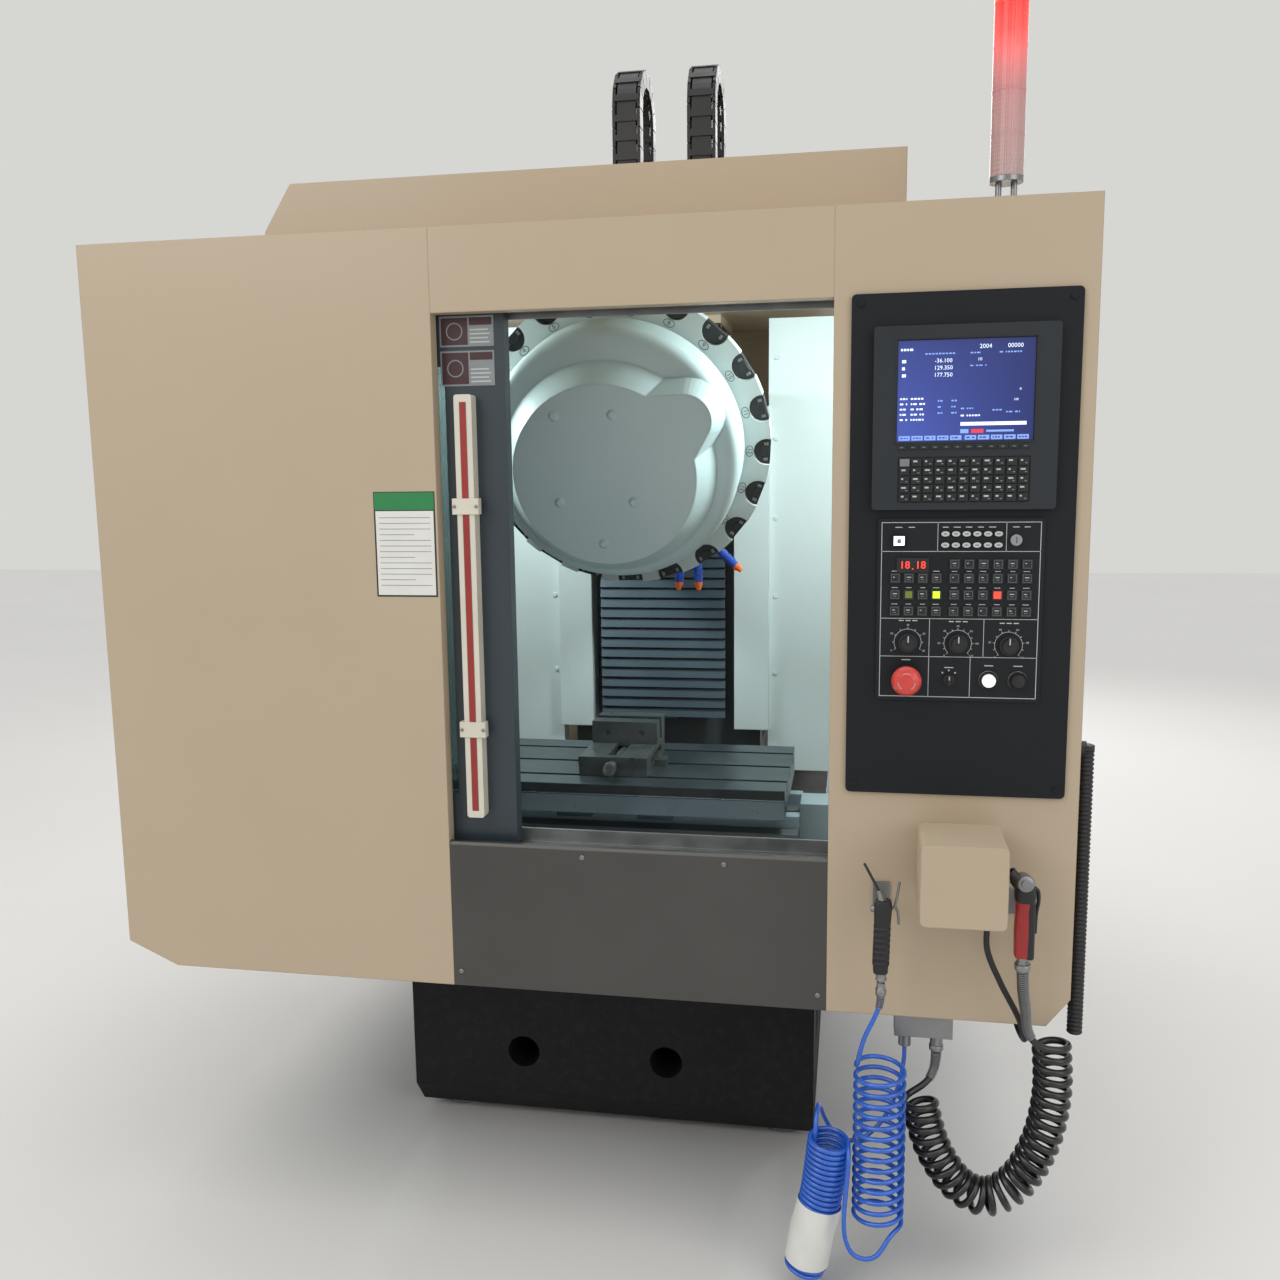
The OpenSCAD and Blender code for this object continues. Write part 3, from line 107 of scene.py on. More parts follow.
class Nodes:
    """Short calls for building the nodes of a material or of the world."""

    def __init__(self, owner):
        owner.use_nodes = True
        self.tree = owner.node_tree
        self.bsdf = self.tree.nodes.get("Principled BSDF")

    def add(self, kind, **values):
        node = self.tree.nodes.new(kind)
        for k, v in values.items():
            setattr(node, k, v)
        return node

    def put(self, socket, v):
        """Gives a socket a value, or links it to another node's output."""
        if hasattr(v, "links"):
            self.tree.links.new(v, socket)
        else:
            socket.default_value = v

    def feed(self, node, **values):
        """Sets a node's inputs, with an underscore for each space in a name."""
        for k, v in values.items():
            self.put(node.inputs[k.replace("_", " ")], v)

    def shader(self, **values):
        self.feed(self.bsdf, **values)

    def coords(self, stretch=(1, 1, 1)):
        co = self.add("ShaderNodeTexCoord")
        mp = self.add("ShaderNodeMapping")
        self.feed(mp, Scale=stretch, Vector=co.outputs["Object"])
        return mp.outputs["Vector"]

    def axes(self):
        co = self.add("ShaderNodeTexCoord")
        sep = self.add("ShaderNodeSeparateXYZ")
        self.feed(sep, Vector=co.outputs["Object"])
        return sep.outputs

    def noise(self, vector, scale, detail=3.0, rough=0.5):
        n = self.add("ShaderNodeTexNoise")
        self.feed(n, Scale=scale, Detail=detail, Roughness=rough, Vector=vector)
        return n.outputs["Fac"]

    def spread(self, fac, low, high, a=0.3, b=0.7):
        r = self.add("ShaderNodeMapRange")
        self.feed(r, From_Min=a, From_Max=b, To_Min=low, To_Max=high, Value=fac)
        return r.outputs["Result"]

    def mix(self, fac, a, b):
        m = self.add("ShaderNodeMix", data_type="RGBA")
        for socket, v in ((0, fac), (6, a), (7, b)):
            self.put(m.inputs[socket], v)
        return m.outputs[2]

    def math(self, op, *values):
        n = self.add("ShaderNodeMath", operation=op)
        for i, v in enumerate(values):
            self.put(n.inputs[i], v)
        return n.outputs[0]

    def bump(self, height, strength, distance=0.001, edge=0.0):
        b = self.add("ShaderNodeBump")
        self.feed(b, Strength=strength, Distance=distance, Height=height)
        if edge:
            e = self.add("ShaderNodeBevel", samples=4)
            self.feed(e, Radius=edge)
            self.feed(b, Normal=e.outputs["Normal"])
        self.shader(Normal=b.outputs["Normal"])


def material(name):
    MATERIALS[name] = bpy.data.materials.new(name)
    return Nodes(MATERIALS[name])


DUST = srgb(150, 146, 138)
ROUGH_VARY = 0.08


def surface(name, color, rough, metal, vary, grain, fine, bump, brush=None, edge=0.0012, coat=0.0,
            glow=0.0, dust=0.0, spec=0.5):
    """A plain material. vary is how much its clouds change the colour, grain and fine are the scales
    of the clouds and of the specks, bump is the specks' relief, edge rounds edges, in metres."""
    n = material(name)
    base = srgb(*color)
    v = n.coords()
    cloud = n.noise(v, grain, 4.0, 0.55)
    tint = n.mix(n.spread(cloud, 0.0, 1.0), shade(base, 1 - vary), shade(base, 1 + vary))
    speck = n.noise(n.coords(brush) if brush else v, fine, 2.0, 0.6)
    if dust:
        spots = n.spread(n.noise(v, grain * 9, 5.0, 0.65), 0.0, dust, 0.48, 0.75)
        tint = n.mix(spots, tint, DUST)
    if bump > 0.15:
        tint = n.mix(n.spread(speck, 0.0, 1.0, 0.2, 0.8), shade(base, 1 - vary * 0.6), tint)
    gloss = n.spread(cloud, max(0.02, rough - ROUGH_VARY), min(1, rough + ROUGH_VARY))
    n.shader(Base_Color=tint, Roughness=gloss, Metallic=metal, Specular_IOR_Level=spec,
             Coat_Weight=coat, Coat_Roughness=0.15)
    if glow:
        n.shader(Emission_Color=tint, Emission_Strength=glow)
    n.bump(speck, bump, edge=edge)


BRUSH_Z = (1, 1, 0.02)
BRUSH_X = (0.02, 1, 1)
# Colour, roughness, metal, vary, grain, fine, bump
surface("cream_paint", (184, 166, 141), 0.48, 0, 0.03, 1.6, 700, 0.05, edge=0.003, coat=0.12)
surface("dark_sheet", (80, 79, 77), 0.42, 0.55, 0.10, 3, 900, 0.10, BRUSH_Z, edge=0.002)
surface("black_panel", (24, 27, 31), 0.52, 0, 0.10, 6, 900, 0.12, spec=0.22)
surface("casting_black", (24, 23, 25), 0.66, 0, 0.18, 7, 240, 0.35, edge=0.004, dust=0.05, spec=0.25)
surface("casting_grey", (96, 101, 104), 0.5, 0, 0.08, 5, 260, 0.25, edge=0.004)
surface("white_paint", (214, 224, 225), 0.42, 0, 0.03, 2.5, 600, 0.05, edge=0.003, coat=0.1)
surface("cover_paint", (192, 210, 212), 0.46, 0, 0.03, 3, 500, 0.08, edge=0.005, coat=0.1)
surface("ring_white", (196, 204, 203), 0.45, 0, 0.03, 6, 500, 0.06, edge=0.0015)
surface("ground_steel", (158, 161, 163), 0.3, 0.95, 0.07, 6, 800, 0.10, BRUSH_X)
surface("zinc", (140, 141, 142), 0.38, 0.9, 0.12, 20, 600, 0.15)
surface("pan_steel", (176, 192, 200), 0.4, 0.35, 0.08, 4, 700, 0.08, BRUSH_X)
surface("table_iron", (88, 97, 102), 0.36, 0.7, 0.12, 9, 700, 0.14, BRUSH_X, dust=0.05)
surface("front_steel", (112, 122, 128), 0.42, 0.25, 0.08, 9, 700, 0.12, BRUSH_X)
surface("vise_steel", (100, 106, 106), 0.33, 0.6, 0.14, 16, 500, 0.14, dust=0.06)
surface("slat_steel", (72, 84, 94), 0.42, 0.45, 0.10, 5, 800, 0.10, BRUSH_X)
surface("door_dark", (42, 53, 60), 0.42, 0, 0.08, 4, 700, 0.07, edge=0.002, coat=0.1)
surface("handle_plastic", (214, 208, 192), 0.45, 0, 0.05, 12, 600, 0.08)
surface("black_plastic", (27, 27, 29), 0.48, 0, 0.15, 14, 700, 0.18)
surface("chain_plastic", (34, 34, 35), 0.45, 0, 0.16, 10, 500, 0.2, edge=0.0015)
surface("unit_plastic", (42, 46, 50), 0.5, 0, 0.07, 10, 900, 0.16, spec=0.3)
surface("panel_film", (26, 28, 32), 0.42, 0, 0.08, 10, 900, 0.10, spec=0.25)
surface("motor_black", (30, 30, 31), 0.4, 0, 0.12, 9, 400, 0.2, edge=0.003)
surface("blue_plastic", (28, 72, 172), 0.35, 0, 0.10, 30, 500, 0.08, coat=0.2)
surface("orange_plastic", (235, 106, 32), 0.38, 0, 0.06, 40, 500, 0.08)
surface("stop_red", (208, 62, 56), 0.36, 0, 0.06, 30, 500, 0.05, coat=0.4)
surface("white_plastic", (232, 230, 214), 0.3, 0, 0.03, 30, 500, 0.04, coat=0.3, glow=0.15)
surface("gun_red", (158, 26, 26), 0.36, 0, 0.08, 30, 500, 0.08, coat=0.2)
surface("gripper_black", (38, 40, 40), 0.45, 0, 0.18, 24, 500, 0.15)
surface("key_dark", (24, 25, 28), 0.42, 0, 0.14, 50, 900, 0.14, edge=0.0008)
surface("key_grey", (120, 124, 126), 0.42, 0, 0.08, 50, 900, 0.12, edge=0.0008)
surface("air_tube", (38, 96, 196), 0.24, 0, 0.08, 25, 400, 0.04, edge=0, coat=0.4)
surface("coolant_tube", (20, 20, 21), 0.34, 0, 0.15, 25, 400, 0.06, edge=0, coat=0.2)
# Thin things whose edges stay as they are
for name, color, rough, vary, grain, fine, bump in (
        ("cable_black", (24, 24, 25), 0.5, 0.12, 30, 500, 0.12),
        ("paper_white", (222, 222, 216), 0.6, 0.04, 14, 300, 0.12),
        ("mark_pale", (186, 190, 188), 0.5, 0.05, 60, 900, 0.05),
        ("mark_dim", (112, 118, 120), 0.5, 0.08, 60, 900, 0.05),
        ("label_green", (38, 128, 72), 0.45, 0.05, 20, 500, 0.04),
        ("label_grey", (132, 138, 140), 0.42, 0.06, 20, 500, 0.05),
        ("label_maroon", (62, 34, 38), 0.45, 0.10, 20, 500, 0.05),
        ("stripe_red", (150, 44, 38), 0.45, 0.08, 14, 500, 0.06),
        ("ink_dark", (34, 40, 42), 0.5, 0.05, 40, 500, 0.04)):
    surface(name, color, rough, 0, vary, grain, fine, bump, edge=0)
# What is lit
for name, color, rough, vary, glow in (
        ("screen_white", (214, 226, 246), 0.4, 0.03, 0.8), ("screen_blue", (120, 150, 214), 0.4, 0.04, 0.7),
        ("screen_red", (196, 52, 70), 0.4, 0.04, 0.8), ("lamp_red", (255, 52, 40), 0.3, 0.03, 2.2),
        ("lamp_green", (170, 230, 40), 0.3, 0.03, 1.4), ("lamp_white", (232, 240, 250), 0.3, 0.03, 1.4),
        ("lamp_dim", (96, 112, 44), 0.3, 0.05, 0.4)):
    surface(name, color, rough, 0, vary, 60, 900, 0.02, edge=0, glow=glow)


def glass_material():
    n = material("window")
    v = n.coords()
    n.shader(Base_Color=n.mix(n.noise(v, 4.0), srgb(120, 140, 142), srgb(134, 150, 150)),
             Transmission_Weight=0.8, Roughness=n.spread(n.noise(v, 30.0), 0.03, 0.08), IOR=1.45)


def lens_material():
    """Ribbed lenses: lit red at the top; below it the unlit lenses are pinkish white, with a painted red
    glow of the lit module that grows towards it.
    """
    n = material("lens_plastic")
    at = n.axes()
    ramp = n.add("ShaderNodeValToRGB")
    # Below the lit module, the pink and red stops are painted glow of its light on the unlit lenses
    stops = ((0.0, (190, 158, 154)), (0.34, (206, 148, 146)), (0.52, (226, 116, 116)),
             (0.66, (240, 66, 60)), (0.78, (250, 34, 26)), (0.90, (255, 178, 84)), (1.0, (250, 52, 36)))
    while len(ramp.color_ramp.elements) < len(stops):
        ramp.color_ramp.elements.new(0.5)
    for e, (share, c) in zip(ramp.color_ramp.elements, stops):
        e.position = share
        e.color = srgb(*c)
    n.feed(ramp, Fac=n.spread(at["Z"], 0.0, 1.0, 1.89, 2.22))
    color = ramp.outputs["Color"]
    lit = n.spread(at["Z"], 0.0, 1.0, 2.02, 2.16)
    n.shader(Base_Color=color, Emission_Color=color, Emission_Strength=lit, Roughness=0.22, Coat_Weight=0.5)
    dx = n.math("SUBTRACT", at["X"], LIGHT[0] * MM)
    dy = n.math("SUBTRACT", at["Y"], LIGHT[1] * MM)
    ribs = n.math("SINE", n.math("MULTIPLY", n.math("ARCTAN2", dy, dx), 44.0))
    rows = n.math("SINE", n.math("MULTIPLY", at["Z"], 900.0))
    n.bump(n.math("ADD", ribs, n.math("MULTIPLY", rows, 0.4)), 0.5, 0.0012)


def screen_material():
    """The lit screen: blue violet, lighter at the left."""
    n = material("screen_ground")
    at = n.axes()
    across = n.spread(at["X"], 0.0, 1.0, SCREEN[0] * MM, SCREEN[1] * MM)
    tint = n.mix(across, srgb(58, 74, 150), srgb(28, 38, 92))
    down = n.spread(at["Z"], 0.0, 0.6, SCREEN[2] * MM, SCREEN[3] * MM)
    tint = n.mix(down, tint, srgb(34, 42, 84))
    n.shader(Base_Color=tint, Emission_Color=tint, Emission_Strength=0.75, Roughness=0.18)
    n.bump(n.noise(n.coords(), 900.0), 0.02)


glass_material()
lens_material()
screen_material()


# Mesh building
def around(n):
    """The angles of n even steps round a circle."""
    return [2 * pi * k / n for k in range(n)]


def skin(n, rows):
    """Faces between rows of n points, each row closed on itself."""
    return [(i * n + k, i * n + (k + 1) % n, (i + 1) * n + (k + 1) % n, (i + 1) * n + k)
            for i in range(rows - 1) for k in range(n)]


def ends(n, rows):
    """The two faces that close such rows."""
    return [tuple(range(n - 1, -1, -1)), tuple(range((rows - 1) * n, rows * n))]


def heading(points, i):
    """The direction of a line at one of its points."""
    return (points[min(i + 1, len(points) - 1)] - points[max(i - 1, 0)]).normalized()


class Form:
    """Collects the faces of one mesh, in millimetres."""

    def __init__(self):
        self.verts = []
        self.faces = []
        self.mats = []

    def add(self, verts, faces, mat=0):
        base = len(self.verts)
        self.verts += [tuple(v) for v in verts]
        self.faces += [tuple(base + i for i in f) for f in faces]
        self.mats += [mat] * len(faces)

    def box(self, x0, x1, y0, y1, z0, z1, mat=0):
        v = [(x, y, z) for x in (x0, x1) for y in (y0, y1) for z in (z0, z1)]
        f = [(0, 1, 3, 2), (4, 6, 7, 5), (0, 4, 5, 1), (2, 3, 7, 6), (0, 2, 6, 4), (1, 5, 7, 3)]
        self.add(v, f, mat)

    def prism(self, front, back, mat=0):
        """Joins two outlines of equal count."""
        n = len(front)
        f = [tuple(range(n)), tuple(range(2 * n - 1, n - 1, -1))]
        f += [(i, i + n, (i + 1) % n + n, (i + 1) % n) for i in range(n)]
        self.add([*front, *back], f, mat)

    def plate(self, outline, y, depth=0.5, mat=0):
        """A flat shape in X and Z, its face at y, standing on what lies behind it."""
        self.prism([(x, y, z) for x, z in outline], [(x, y + depth, z) for x, z in outline], mat)

    def bar(self, x0, x1, z0, z1, y, depth=0.5, mat=0):
        self.plate([(x0, z0), (x1, z0), (x1, z1), (x0, z1)], y, depth, mat)

    def frame(self, x0, x1, z0, z1, y, w=0.9, mat=0):
        for a, b, c, d in ((x0, x1, z0, z0 + w), (x0, x1, z1 - w, z1), (x0, x0 + w, z0 + w, z1 - w),
                           (x1 - w, x1, z0 + w, z1 - w)):
            self.bar(a, b, c, d, y, 0.5, mat)

    def arc(self, cx, cz, r, a0, a1, y, w=0.8, mat=0, steps=24):
        pts = [radians(a0 + (a1 - a0) * i / steps) for i in range(steps + 1)]
        outer = [(cx + (r + w) * sin(a), cz + (r + w) * cos(a)) for a in pts]
        inner = [(cx + r * sin(a), cz + r * cos(a)) for a in pts]
        for i in range(steps):
            self.plate([outer[i], outer[i + 1], inner[i + 1], inner[i]], y, 0.5, mat)

    def lathe(self, profile, at, axis=UP, sides=24, mat=0, ring=False):
        """Turns a profile of (radius, height) about an axis, closed by its ends or into a ring."""
        w = Vector(axis).normalized()
        u = w.orthogonal().normalized()
        t = w.cross(u)
        c = Vector(at)
        v = [c + w * h + r * (cos(g) * u + sin(g) * t) for r, h in profile for g in around(sides)]
        f = skin(sides, len(profile))
        if ring:
            last = len(v) - sides
            f += [(last + k, last + (k + 1) % sides, (k + 1) % sides, k) for k in range(sides)]
        else:
            f += ends(sides, len(profile))
        self.add(v, f, mat)

    def tube(self, path, r, sides=8, mat=0):
        side = None
        v = []
        for i, p in enumerate(path):
            t = heading(path, i)
            side = t.orthogonal().normalized() if side is None else (side - t * side.dot(t)).normalized()
            other = t.cross(side)
            v += [p + r * (cos(g) * side + sin(g) * other) for g in around(sides)]
        self.add(v, skin(sides, len(path)) + ends(sides, len(path)), mat)

    def text(self, body, x, z, y, size, mat=0, place=None):
        """Plain digits, standing on a face or put there by place."""
        curve = bpy.data.curves.new("digits", "FONT")
        curve.body = body
        curve.size = size
        curve.align_x = "CENTER"
        curve.align_y = "CENTER"
        curve.resolution_u = 2
        obj = bpy.data.objects.new("digits", curve)
        scene.collection.objects.link(obj)
        mesh = obj.to_mesh()
        place = place or (lambda px, pz: (px, y, pz))
        v = [place(x + p.co.x, z + p.co.y) for p in mesh.vertices]
        self.add(v, [tuple(p.vertices) for p in mesh.polygons], mat)
        obj.to_mesh_clear()
        bpy.data.objects.remove(obj)
        bpy.data.curves.remove(curve)

    def build(self, name, mats, body, slot, angle=0, bevel=0.0):
        mesh = bpy.data.meshes.new(name)
        mesh.from_pydata([(x * MM, y * MM, z * MM) for x, y, z in self.verts], [], self.faces)
        for m in mats:
            mesh.materials.append(MATERIALS[m])
        mesh.polygons.foreach_set("material_index", self.mats)
        mesh.polygons.foreach_set("use_smooth", [angle > 0] * len(self.faces))
        mesh.validate()
        mesh.update()
        obj = bpy.data.objects.new(name, mesh)
        scene.collection.objects.link(obj)
        if angle:
            mesh.set_sharp_from_angle(angle=radians(angle))
        if bevel:
            mod = obj.modifiers.new("edge", "BEVEL")
            mod.width = bevel * MM
            mod.segments = 2
            mod.limit_method = "ANGLE"
            mod.angle_limit = radians(40)
        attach(obj, body)
        return obj


# Cords
def smooth_line(points, step=4.0):
    """Follows the points on one smooth curve, a point about every step."""
    p = [Vector(q) for q in points]
    out = []
    for i in range(len(p) - 1):
        a, b, c, d = p[max(i - 1, 0)], p[i], p[i + 1], p[min(i + 2, len(p) - 1)]
        n = max(2, round((c - b).length / step))
        for k in range(n):
            u = k / n
            out.append(0.5 * (2 * b + u * (c - a) + u * u * (2 * a - 5 * b + 4 * c - d)
                              + u ** 3 * (3 * b - a - 3 * c + d)))
    out.append(p[-1])
    return out


def even(points, step):
    """The same line with its points a step apart."""
    out = [points[0]]
    left = step
    for a, b in zip(points, points[1:]):
        seg = (b - a).length
        at = 0.0
        while seg - at >= left:
            at += left
            out.append(a.lerp(b, at / seg))
            left = step
        left -= seg - at
    if (out[-1] - points[-1]).length > step * 0.3:
        out.append(points[-1])
    else:
        out[-1] = points[-1]
    return out


def frames(line):
    """Each point of a line with its heading and two side vectors, carried along without twist."""
    side = Vector((1, 0, 0))
    out = []
    for i, p in enumerate(line):
        t = heading(line, i)
        side = (side - t * side.dot(t)).normalized()
        out.append((p, t, side, t.cross(side)))
    return out


def wind(line, radius, turns, per_turn, start=0.0, way=1):
    """A helix about a line. radius takes the share of the line and gives its value there."""
    n = max(8, round(turns * per_turn))
    axis = frames(even(line, 3.0))
    out = []
    for i in range(n + 1):
        s = i / n
        k = s * (len(axis) - 1)
        j = min(int(k), len(axis) - 2)
        u = k - j
        p = axis[j][0].lerp(axis[j + 1][0], u)
        a = axis[j][2].lerp(axis[j + 1][2], u).normalized()
        b = axis[j][3].lerp(axis[j + 1][3], u).normalized()
        g = start + way * 2 * pi * turns * s
        out.append(p + radius(s) * (cos(g) * a + sin(g) * b))
    return out


def length_of(line):
    return sum((b - a).length for a, b in zip(line, line[1:]))


def make_cord(name, line, r, mat, slot, nodes):
    form = Form()
    form.tube(line, r, 10)
    obj = form.build(name, [mat], "machine", slot, angle=80)
    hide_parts(*nodes)
    path = [tuple(p * MM) for p in line]
    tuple(path[0])
    length_of(line) * MM


AIR_R, COOL_R, CABLE_R = 4.0, 6.0, 5.0
# The air hose's bundle, and the axis of its open coil
BUNDLE = ((480, -962, 290), (468, -962, 190), (452, -962, 110), (440, -962, 44))
COIL = (564.0, -955.0)


def ease(line, spots, reach=12, rounds=24):
    """Rounds the line off near the given places, less and less away from them."""
    line = [p.copy() for p in line]
    weight = [0.0] * len(line)
    for spot in spots:
        near = min(range(len(line)), key=lambda i: (line[i] - Vector(spot)).length)
        for i in range(max(2, near - reach), min(len(line) - 2, near + reach + 1)):
            weight[i] = max(weight[i], 0.5 * (1 - abs(i - near) / (reach + 1)) ** 1.5)
    for _ in range(rounds):
        line = [p if not weight[i] else p.lerp((line[i - 1] + line[i + 1]) / 2, weight[i])
                for i, p in enumerate(line)]
    return line


# Routes of the air hose: to its bundle, from there to its coil, and from that to the gun
AIR_DOWN = [
    (609, -850, 416), (608.5, -850, 385), (600, -856, 340), (580, -868, 290), (550, -880, 256),
    (520, -888, 244), (492, -892, 255), (476, -894, 275), (468, -896, 293), (464, -900.4, 309.5),
    (461, -912.5, 321.6), (459, -929, 326), (457.5, -945.5, 321.6), (456.5, -957.6, 309.5), (456, -962, 290)]
AIR_ACROSS = [
    (513, -978, 285.7), (513, -989.7, 274), (512.5, -995, 258), (510, -1002, 225), (507, -1008, 185),
    (507, -1010, 152), (510, -1010, 130), (521, -1010, 109), (540, -1009, 99), (560, -1006, 104),
    (575, -999, 122)]
AIR_UP = [
    (524, -971, 430), (526, -983, 442), (529, -988, 462), (537, -988, 492), (552, -986, 526),
    (560.5, -984, 550), (562, -984, 573)]
# The coolant hose: to its coil, the coil's axis, and to the gun
COOL_DOWN = [(664, -850, 416), (664, -850.5, 398), (660, -856, 374), (650, -866, 358)]
COOL_AXIS = [
    (632, -904, 348), (656, -908, 262), (700, -910, 196), (752, -910, 176), (802, -910, 212),
    (838, -910, 290), (852, -912, 380), (848, -914, 470)]
COOL_UP = [
    (824, -946, 476.4), (806.4, -950, 494), (800, -956, 518), (796, -966, 548), (789, -978, 590),
    (786, -984, 633)]
# The handwheel box's cable
CABLE = [
    (730, -975, 692.7), (732, -972, 650), (756, -958, 590), (790, -936, 520), (806, -900, 466),
    (806, -840, 450), (801, -795, 466), (800, -780, 499)]


def air_line():
    """From the fitting into the bundle, down inside it, round it to its top, and up the coil to the gun."""
    line = smooth_line(AIR_DOWN, 5)[:-1]
    axis = frames(even(smooth_line(BUNDLE, 4), 2.0))
    last = len(axis) - 1
    inside, outside, coil_r, steps = 23.5, 33.0, 41, 48

    def at(k, r, g):
        j = min(int(k), last - 1)
        p, _, u, v = (axis[j][q].lerp(axis[j + 1][q], k - j) for q in range(4))
        return p + r * (cos(g) * u + sin(g) * v)

    spots = [AIR_DOWN[-1], AIR_DOWN[7]]
    # Down inside the bundle, out to its skin, and back up round it
    for i in range(90):
        line.append(at(last * (1 - (1 - i / 90) ** 1.3), inside, pi + 3 * pi * (i / 90) ** 2.6))
    spots.append(line[-1])
    for i in range(steps + 1):
        line.append(at(last, inside + (outside - inside) * i / steps, 4 * pi + 2 * pi * i / steps))
    spots.append(line[-1])
    turns = 26
    for i in range(1, turns * steps + 1):
        k = i / (turns * steps)
        line.append(at(last * (1 - k), outside, 2 * pi * turns * k))
    spots.append(line[-1])
    # The open coil beside it
    turns = 14.667
    count = round(turns * steps)
    spiral = []
    for i in range(count + 1):
        k = i / count
        g = radians(-60) + 2 * pi * turns * k
        spiral.append(Vector((COIL[0] + coil_r * cos(g), COIL[1] + coil_r * sin(g), 140 + 286 * k)))
    line += smooth_line([line[-2], line[-1], *AIR_ACROSS, spiral[0]], 4)[3:-1]
    line += spiral
    line += smooth_line([spiral[-2], spiral[-1], *AIR_UP], 4)[3:]
    spots += [AIR_ACROSS[6], AIR_ACROSS[8], AIR_ACROSS[10], spiral[0], spiral[-1]]
    return ease(even(line, 4.0), spots)


def coolant_line():
    """From the fitting round the hanging coil and up to the gun."""
    coil = wind(smooth_line(COOL_AXIS, 4), lambda s: 27.0, 27.5, 40, start=-pi / 2, way=-1)
    low = smooth_line([*COOL_DOWN, coil[0], coil[3]], 3)
    low = [q for q in low if (q - coil[0]).length > 4 and q.z > coil[0].z - 1][:-1]
    top = smooth_line([coil[-3], coil[-1], *COOL_UP], 3)[4:]
    return ease(even(low + coil + top, 4.0), [coil[0], coil[-1], (806, -950, 494)])


def start_of(line, length):
    """The points of a line up to a length from its start."""
    out, run = [], 0.0
    for a, b in zip(line, line[1:]):
        out.append(a)
        run += (b - a).length
        if run > length:
            break
    return out


def spring_guard(name, line, radius, wire, pitch):
    """A tapering spring round the start of a line, with a collar at its foot."""
    form = Form()
    coil = wind(line, lambda s: radius * (1 - 0.18 * s), max(3, round(length_of(line) / pitch)), 10)
    form.tube(coil, wire, 5)
    form.lathe([(radius * 1.35, -5), (radius * 1.45, -4), (radius * 1.45, 5), (radius * 1.3, 6), (radius, 9),
                (radius * 0.72, 9), (radius * 0.72, -5)], line[0], (line[1] - line[0]).normalized(), 16,
               ring=True)
    return form.build(name, ["zinc"], "machine", "zinc", angle=50)


def paper_band():
    """A bare white band wound round the bundled coil."""
    form = Form()
    low, high, radius, thick, sides = 58, 172, 38.6, 0.5, 40
    rows = [r for r in frames(even(smooth_line(BUNDLE, 4), 3.0)) if low <= r[0].z <= high]
    v = []
    for shell in (0.0, -thick):
        for i, (p, _, a, b) in enumerate(rows):
            for g in around(sides):
                r = radius + shell + 0.5 * sin(3 * g + 0.21 * i) + 0.35 * sin(7 * g - 0.13 * i)
                v.append(p + r * (cos(g) * a + sin(g) * b))
    inner = len(rows) * sides
    outside = skin(sides, len(rows))
    f = outside + [tuple(inner + i for i in q)[::-1] for q in outside]
    # The rims at both ends
    for o, way in ((0, 1), (inner - sides, -1)):
        f += [(o + k, inner + o + k, inner + o + (k + 1) % sides, o + (k + 1) % sides)[::way]
              for k in range(sides)]
    form.add(v, f)
    return form.build("bundle_band", ["paper_white"], "machine", "white_plastic", angle=35)


# Guns
def rounded(x, y, z, w, d, r, n=4):
    """A level rounded rectangle about a point."""
    out = []
    for cx, cy, a in ((w / 2 - r, d / 2 - r, 0), (r - w / 2, d / 2 - r, 90), (r - w / 2, r - d / 2, 180),
                      (w / 2 - r, r - d / 2, 270)):
        for k in range(n + 1):
            g = radians(a + 90 * k / n)
            out.append((x + (cx + r * cos(g)), y + (cy + r * sin(g)), z))
    return out


def loft(form, rings, mat=0):
    """Joins rings of equal count and closes both ends."""
    n = len(rings[0])
    form.add([p for ring in rings for p in ring], skin(n, len(rings)) + ends(n, len(rings)), mat)


def air_gun_looks():
    form = Form()
    x, y = 562.0, GUN_Y

    def mid(z):
        """The handle leans a little to the right."""
        return x + 3 * (z - 606) / 130 - 1.5

    # Swivel and nut, handle, ribs, nozzle
    form.lathe([(3.6, 0), (8.4, 0), (8.8, 1.5), (8.8, 12), (7.4, 13.5), (7.4, 22), (5, 23), (5, 30)],
               (x, y, 567), UP, 6, 1)
    form.lathe([(5, 0), (9.2, 0), (9.2, 3), (8.2, 4), (8.2, 14), (6, 15)], (x, y, 594), UP, 24, 1)
    loft(form, [rounded(mid(z), y, z, w, d, r) for z, w, d, r in (
        (606, 20, 19, 5), (609, 24, 23, 6), (640, 26, 25, 7), (676, 25, 24, 7), (706, 28, 26, 7),
        (724, 29, 27, 7), (731, 25, 23, 6), (733, 19, 17, 5))])
    for z in range(622, 683, 10):
        loft(form, [rounded(mid(z + rise), y, z + rise, w, w - 1, 7)
                    for rise, w in ((0, 25.4), (1, 27.6), (4, 27.6), (5, 25.4))])
    form.lathe([(2, 0), (7.2, 0), (7.2, 7), (5.4, 9), (5.4, 16), (4.6, 18)], (x, y, 731),
               (-0.30, 0, 0.954), 6, 1)
    form.lathe([(1.4, 0), (2.4, 0), (2.2, 56), (1.2, 57)], (x - 3.6, y, 743), (-0.47, 0, 0.883), 12, 2)
    # Lever and its pin
    for lever in (((13, 716), (20, 722), (24, 744), (27, 764)), ((20, 722), (25, 712), (27, 692))):
        form.tube(smooth_line([(x + dx, y, z) for dx, z in lever], 4), 2.2, 8, 1)
    form.lathe([(1, 0), (5.5, 0), (5.5, 5), (4.6, 6), (1, 6)], (x - 13, y, 716), (-1, 0, 0), 16, 1)
    obj = form.build("air_gun_body", ["black_plastic", "zinc", "gripper_black"], "machine", "black_plastic",
                     angle=40)
    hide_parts("air_gun")


